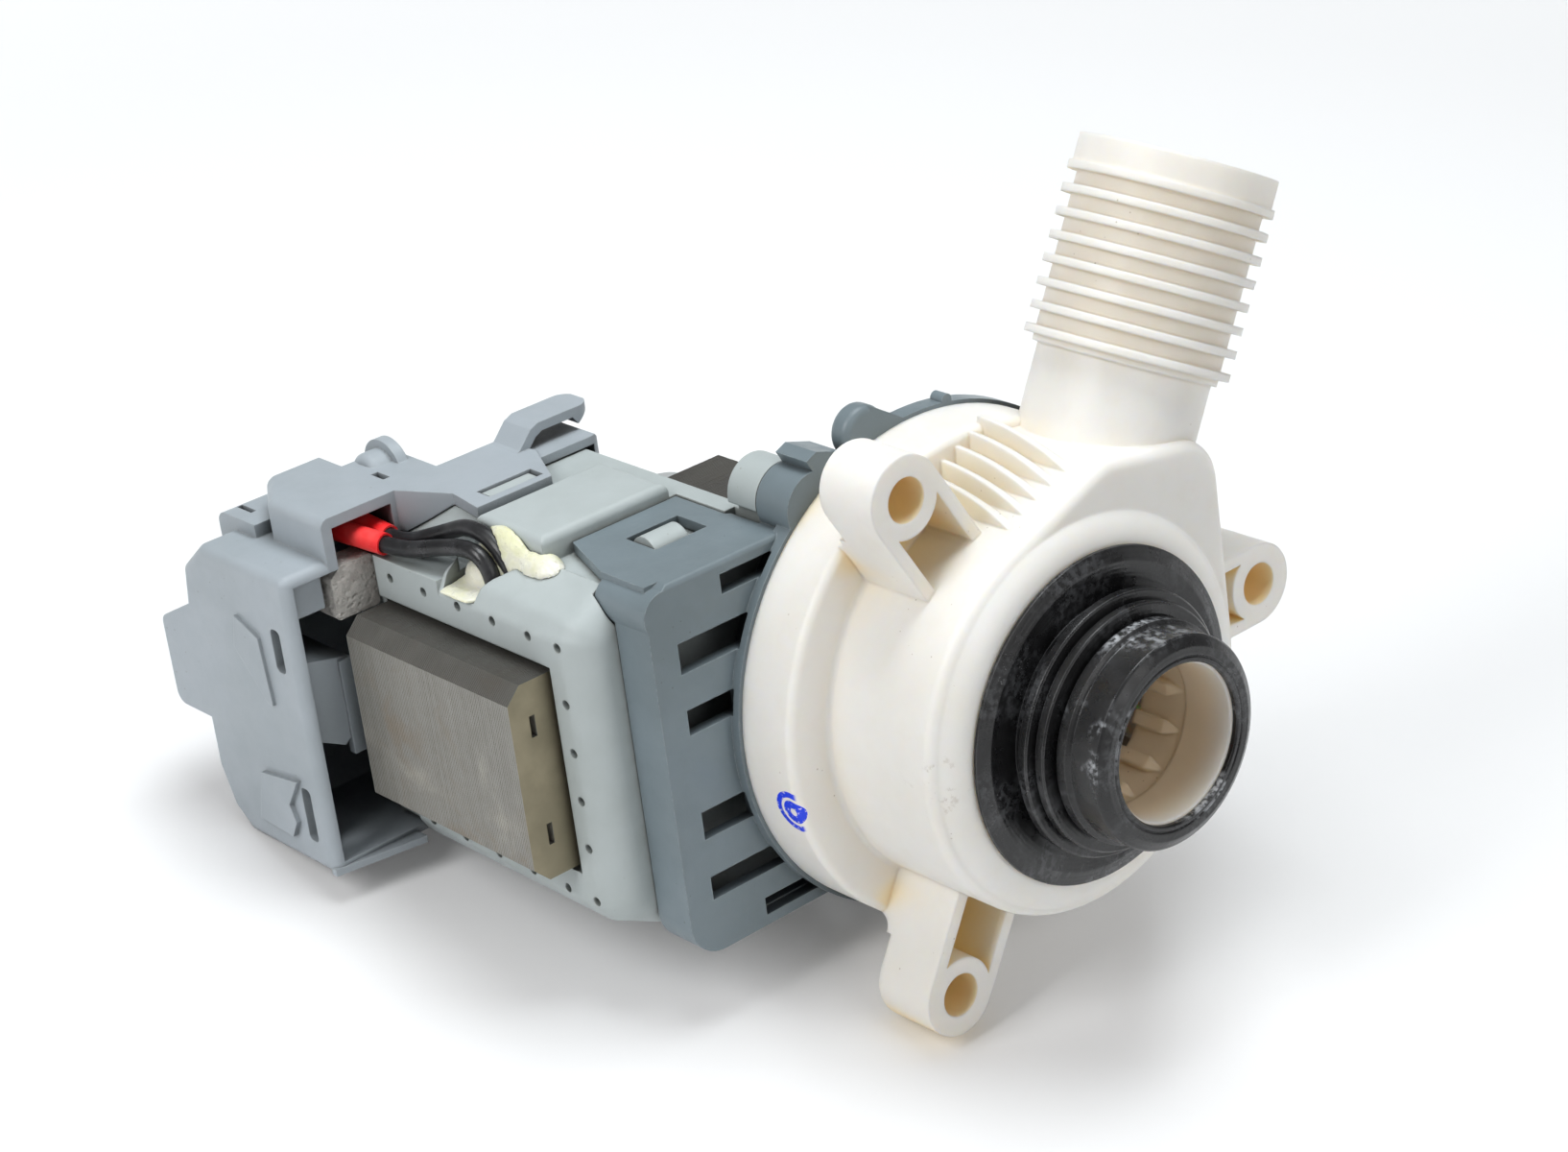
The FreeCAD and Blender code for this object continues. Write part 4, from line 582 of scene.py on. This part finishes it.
def make_compound():
    """Sealing compound with its mounds run together and a rippled, settled skin."""
    source = nodes["potting_compound"]
    copy = bpy.data.objects.new("compound_source", source.data.copy())
    copy.matrix_world = source.matrix_world
    bpy.context.scene.collection.objects.link(copy)
    remesh = copy.modifiers.new("remesh", "REMESH")
    remesh.mode = "VOXEL"
    remesh.voxel_size = compound_voxel
    smooth = copy.modifiers.new("smooth", "SMOOTH")
    smooth.factor = compound_smoothing
    smooth.iterations = compound_smoothings
    ripple = bpy.data.textures.new("compound_ripple", "CLOUDS")
    ripple.noise_scale = compound_ripple_size
    wave = copy.modifiers.new("ripple", "DISPLACE")
    wave.texture = ripple
    wave.strength = compound_ripple
    wave.mid_level = compound_ripple_level
    settled = copy.evaluated_get(bpy.context.evaluated_depsgraph_get())
    mesh = bpy.data.meshes.new_from_object(settled)
    mesh.name = "compound_skin"
    for polygon in mesh.polygons:
        polygon.use_smooth = True
    bpy.data.objects.remove(copy)
    mesh.materials.clear()
    new_piece("compound_skin", mesh, [sealing_compound()], "housing", ["potting_compound"])


def core_outline(low, high, shift_y, shift_z):
    """Loop (y, z) of one U-shaped sheet, from the core's own box."""
    inner = low.y + core_yoke
    first = math.atan2(core_window, -math.sqrt(pole_r ** 2 - core_window ** 2))
    last = math.acos(high.y / pole_r)
    turns = [first + (last - first) * i / pole_arc_steps for i in range(pole_arc_steps + 1)]
    pole = [(pole_r * math.cos(turn), pole_r * math.sin(turn)) for turn in turns]
    back = [(low.y + core_chamfer, high.z), (low.y, high.z - core_chamfer)]
    upper = [(inner, core_window)] + pole + [(high.y, high.z)] + back
    lower = [(y, -z) for y, z in reversed(upper)]
    return [(y + shift_y, z + shift_z) for y, z in upper + lower]


def interlock_loops(low):
    """Small rectangles (y, z) pressed through the outer sheets."""
    width, length = interlock_size
    y0 = low.y + interlock_y - width / 2
    y1 = y0 + width
    half = length / 2
    return [[(y0, z - half), (y1, z - half), (y1, z + half), (y0, z + half)] for z in interlock_zs]


def add_sheet(bm, x0, x1, loops):
    """One sheet between x0 and x1, from its outline and the loops of its holes."""
    rings = []
    for x in (x0, x1):
        edges = []
        side = []
        for loop in loops:
            verts = [bm.verts.new((x, y, z)) for y, z in loop]
            side.append(verts)
            edges += [bm.edges.new((verts[i], verts[(i + 1) % len(verts)])) for i in range(len(verts))]
        outward = (1 if x == x1 else -1, 0, 0)
        filled = bmesh.ops.triangle_fill(bm, use_beauty=True, use_dissolve=True, edges=edges, normal=outward)
        for item in filled["geom"]:
            if isinstance(item, bmesh.types.BMFace):
                item.material_index = flat_face_slot
        rings.append(side)
    for verts0, verts1 in zip(*rings):
        count = len(verts0)
        for i in range(count):
            j = (i + 1) % count
            bm.faces.new((verts0[i], verts0[j], verts1[j], verts1[i]))


def make_core_stack():
    """Stator core as its real sheets, each a hair out of line with the next."""
    low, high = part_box("stator_core")
    bm = bmesh.new()
    count = round((high.x - low.x) / sheet_pitch)
    pitch = (high.x - low.x) / count
    for i in range(count):
        last = i == count - 1
        wander = 0.0 if i == 0 or last else sheet_shift
        shift_y, shift_z = random.uniform(-wander, wander), random.uniform(-wander, wander)
        loops = [core_outline(low, high, shift_y, shift_z)]
        if i < interlock_sheets:
            loops += interlock_loops(low)
        x1 = high.x - i * pitch
        add_sheet(bm, x1 - pitch + (0 if last else sheet_gap), x1, loops)
    bmesh.ops.recalc_face_normals(bm, faces=bm.faces)
    mesh = bpy.data.meshes.new("core_sheets")
    bm.to_mesh(mesh)
    bm.free()
    materials = [sheet_steel(), end_sheet_varnish()]
    new_piece("core_sheets", mesh, materials, "housing", ["stator_core"])


# Studio


def view_axes():
    """Right, up and back of the photograph's camera."""
    azimuth, elevation, roll = (math.radians(a) for a in (view_azimuth, view_elevation, view_roll))
    level = math.cos(elevation)
    back = Vector((level * math.sin(azimuth), -level * math.cos(azimuth), math.sin(elevation)))
    right = Vector((math.cos(azimuth), math.sin(azimuth), 0))
    up = back.cross(right)
    turned_right = right * math.cos(roll) + up * math.sin(roll)
    turned_up = up * math.cos(roll) - right * math.sin(roll)
    return turned_right, turned_up, back


def make_camera():
    right, up, back = view_axes()
    data = bpy.data.cameras.new("camera")
    data.sensor_width = sensor_width_mm
    data.lens = sensor_width_mm * focal_px / image_width_px
    data.clip_start, data.clip_end = camera_clip
    camera = bpy.data.objects.new("camera", data)
    camera.matrix_world = Matrix((right, up, back)).transposed().to_4x4()
    camera.location = back * camera_distance + right * camera_right + up * camera_up
    bpy.context.scene.collection.objects.link(camera)
    bpy.context.scene.camera = camera


def lowest(name, up):
    """How far along up a CAD node starts."""
    return min(v.co.dot(up) for v in nodes[name].data.vertices)


def resting_up():
    """World's up in the part's frame: the pump lies on its lower lug and the foot of its rear cover."""
    flat, steep = 0.0, math.radians(steepest_rest)
    for _ in range(rest_halvings):
        angle = (flat + steep) / 2
        up = Vector((math.sin(angle), 0, math.cos(angle)))
        if lowest("rear_cover", up) > lowest("volute_housing", up):
            flat = angle
        else:
            steep = angle
    return up


def floor_paper(centre):
    """Matt paper that shines white far from its centre and lets light through from below."""
    f = Finish("floor")
    f.set(Base_Color=rgb(0.84, 0.84, 0.845), Roughness=0.9, Specular_IOR_Level=0.0)
    rays = f.add("ShaderNodeLightPath").outputs
    mirrored = f.math("MAXIMUM", rays["Is Glossy Ray"], rays["Is Transmission Ray"])
    seen = f.math("MAXIMUM", rays["Is Camera Ray"], mirrored)
    far = f.remap(f.distance_to(centre), floor_lit_r, floor_white_r, floor_glow, 1.0)
    f.set(Emission_Color=rgb(1, 1, 1), Emission_Strength=f.product(seen, far))
    below = f.add("ShaderNodeNewGeometry").outputs["Backfacing"]
    clear = f.add("ShaderNodeBsdfTransparent").outputs["BSDF"]
    through = f.add("ShaderNodeMixShader", {0: below, 1: f.shader.outputs["BSDF"], 2: clear})
    f.tree.links.new(through.outputs["Shader"], f.tree.nodes["Material Output"].inputs["Surface"])
    return f.material


def make_floor(up):
    """Level floor just under the resting pump."""
    height = min(lowest("rear_cover", up), lowest("volute_housing", up))
    side = Vector((0, 1, 0)) * floor_reach
    ahead = side.cross(up)
    middle = up * (height - floor_sink)
    corners = [middle - side - ahead, middle + side - ahead, middle + side + ahead, middle - side + ahead]
    mesh = bpy.data.meshes.new("floor")
    mesh.from_pydata(corners, [], [(0, 1, 2, 3)])
    mesh.materials.append(floor_paper(tuple(up * height)))
    if mesh.polygons[0].normal.dot(up) < 0:
        mesh.flip_normals()
    floor = bpy.data.objects.new("floor", mesh)
    bpy.context.scene.collection.objects.link(floor)


def soft_light(name, way, distance, size, watts, colour, target):
    """Soft box that faces the target from one direction."""
    data = bpy.data.lights.new(name, "AREA")
    data.shape = "RECTANGLE"
    data.size, data.size_y = size
    data.energy = watts
    data.color = colour
    lamp = bpy.data.objects.new(name, data)
    lamp.location = target + way * distance
    lamp.rotation_mode = "QUATERNION"
    lamp.rotation_quaternion = way.to_track_quat("Z", "Y")
    bpy.context.scene.collection.objects.link(lamp)


def make_lights(up):
    """Lamps that stand by the view, turned level with the floor."""
    right, _, back = view_axes()
    level_right = (right - up * right.dot(up)).normalized()
    level_back = (back - up * back.dot(up)).normalized()
    low, high = (Vector(corner) for corner in cad_box)
    for name, lamp in lamps.items():
        to_right, to_up, to_back = lamp["way"]
        way = (level_right * to_right + up * to_up + level_back * to_back).normalized()
        soft_light(name, way, lamp["distance"], lamp["size"], lamp["watts"], lamp["colour"], (low + high) / 2)


def make_world():
    """White backdrop for the camera, and a weaker fill for the part."""
    world = bpy.data.worlds.new("studio")
    world.use_nodes = True
    tree = world.node_tree
    background = tree.nodes["Background"]
    background.inputs["Color"].default_value = rgb(1.0, 1.0, 1.0)
    rays = tree.nodes.new("ShaderNodeLightPath")
    choose = tree.nodes.new("ShaderNodeMapRange")
    choose.inputs["To Min"].default_value = room_fill
    choose.inputs["To Max"].default_value = backdrop
    tree.links.new(rays.outputs["Is Camera Ray"], choose.inputs["Value"])
    tree.links.new(choose.outputs["Result"], background.inputs["Strength"])
    bpy.context.scene.world = world
    bpy.context.scene.view_settings.view_transform = "Standard"


dress_nodes()
make_core_stack()
make_compound()
make_camera()
world_up = resting_up()
make_floor(world_up)
make_lights(world_up)
make_world()
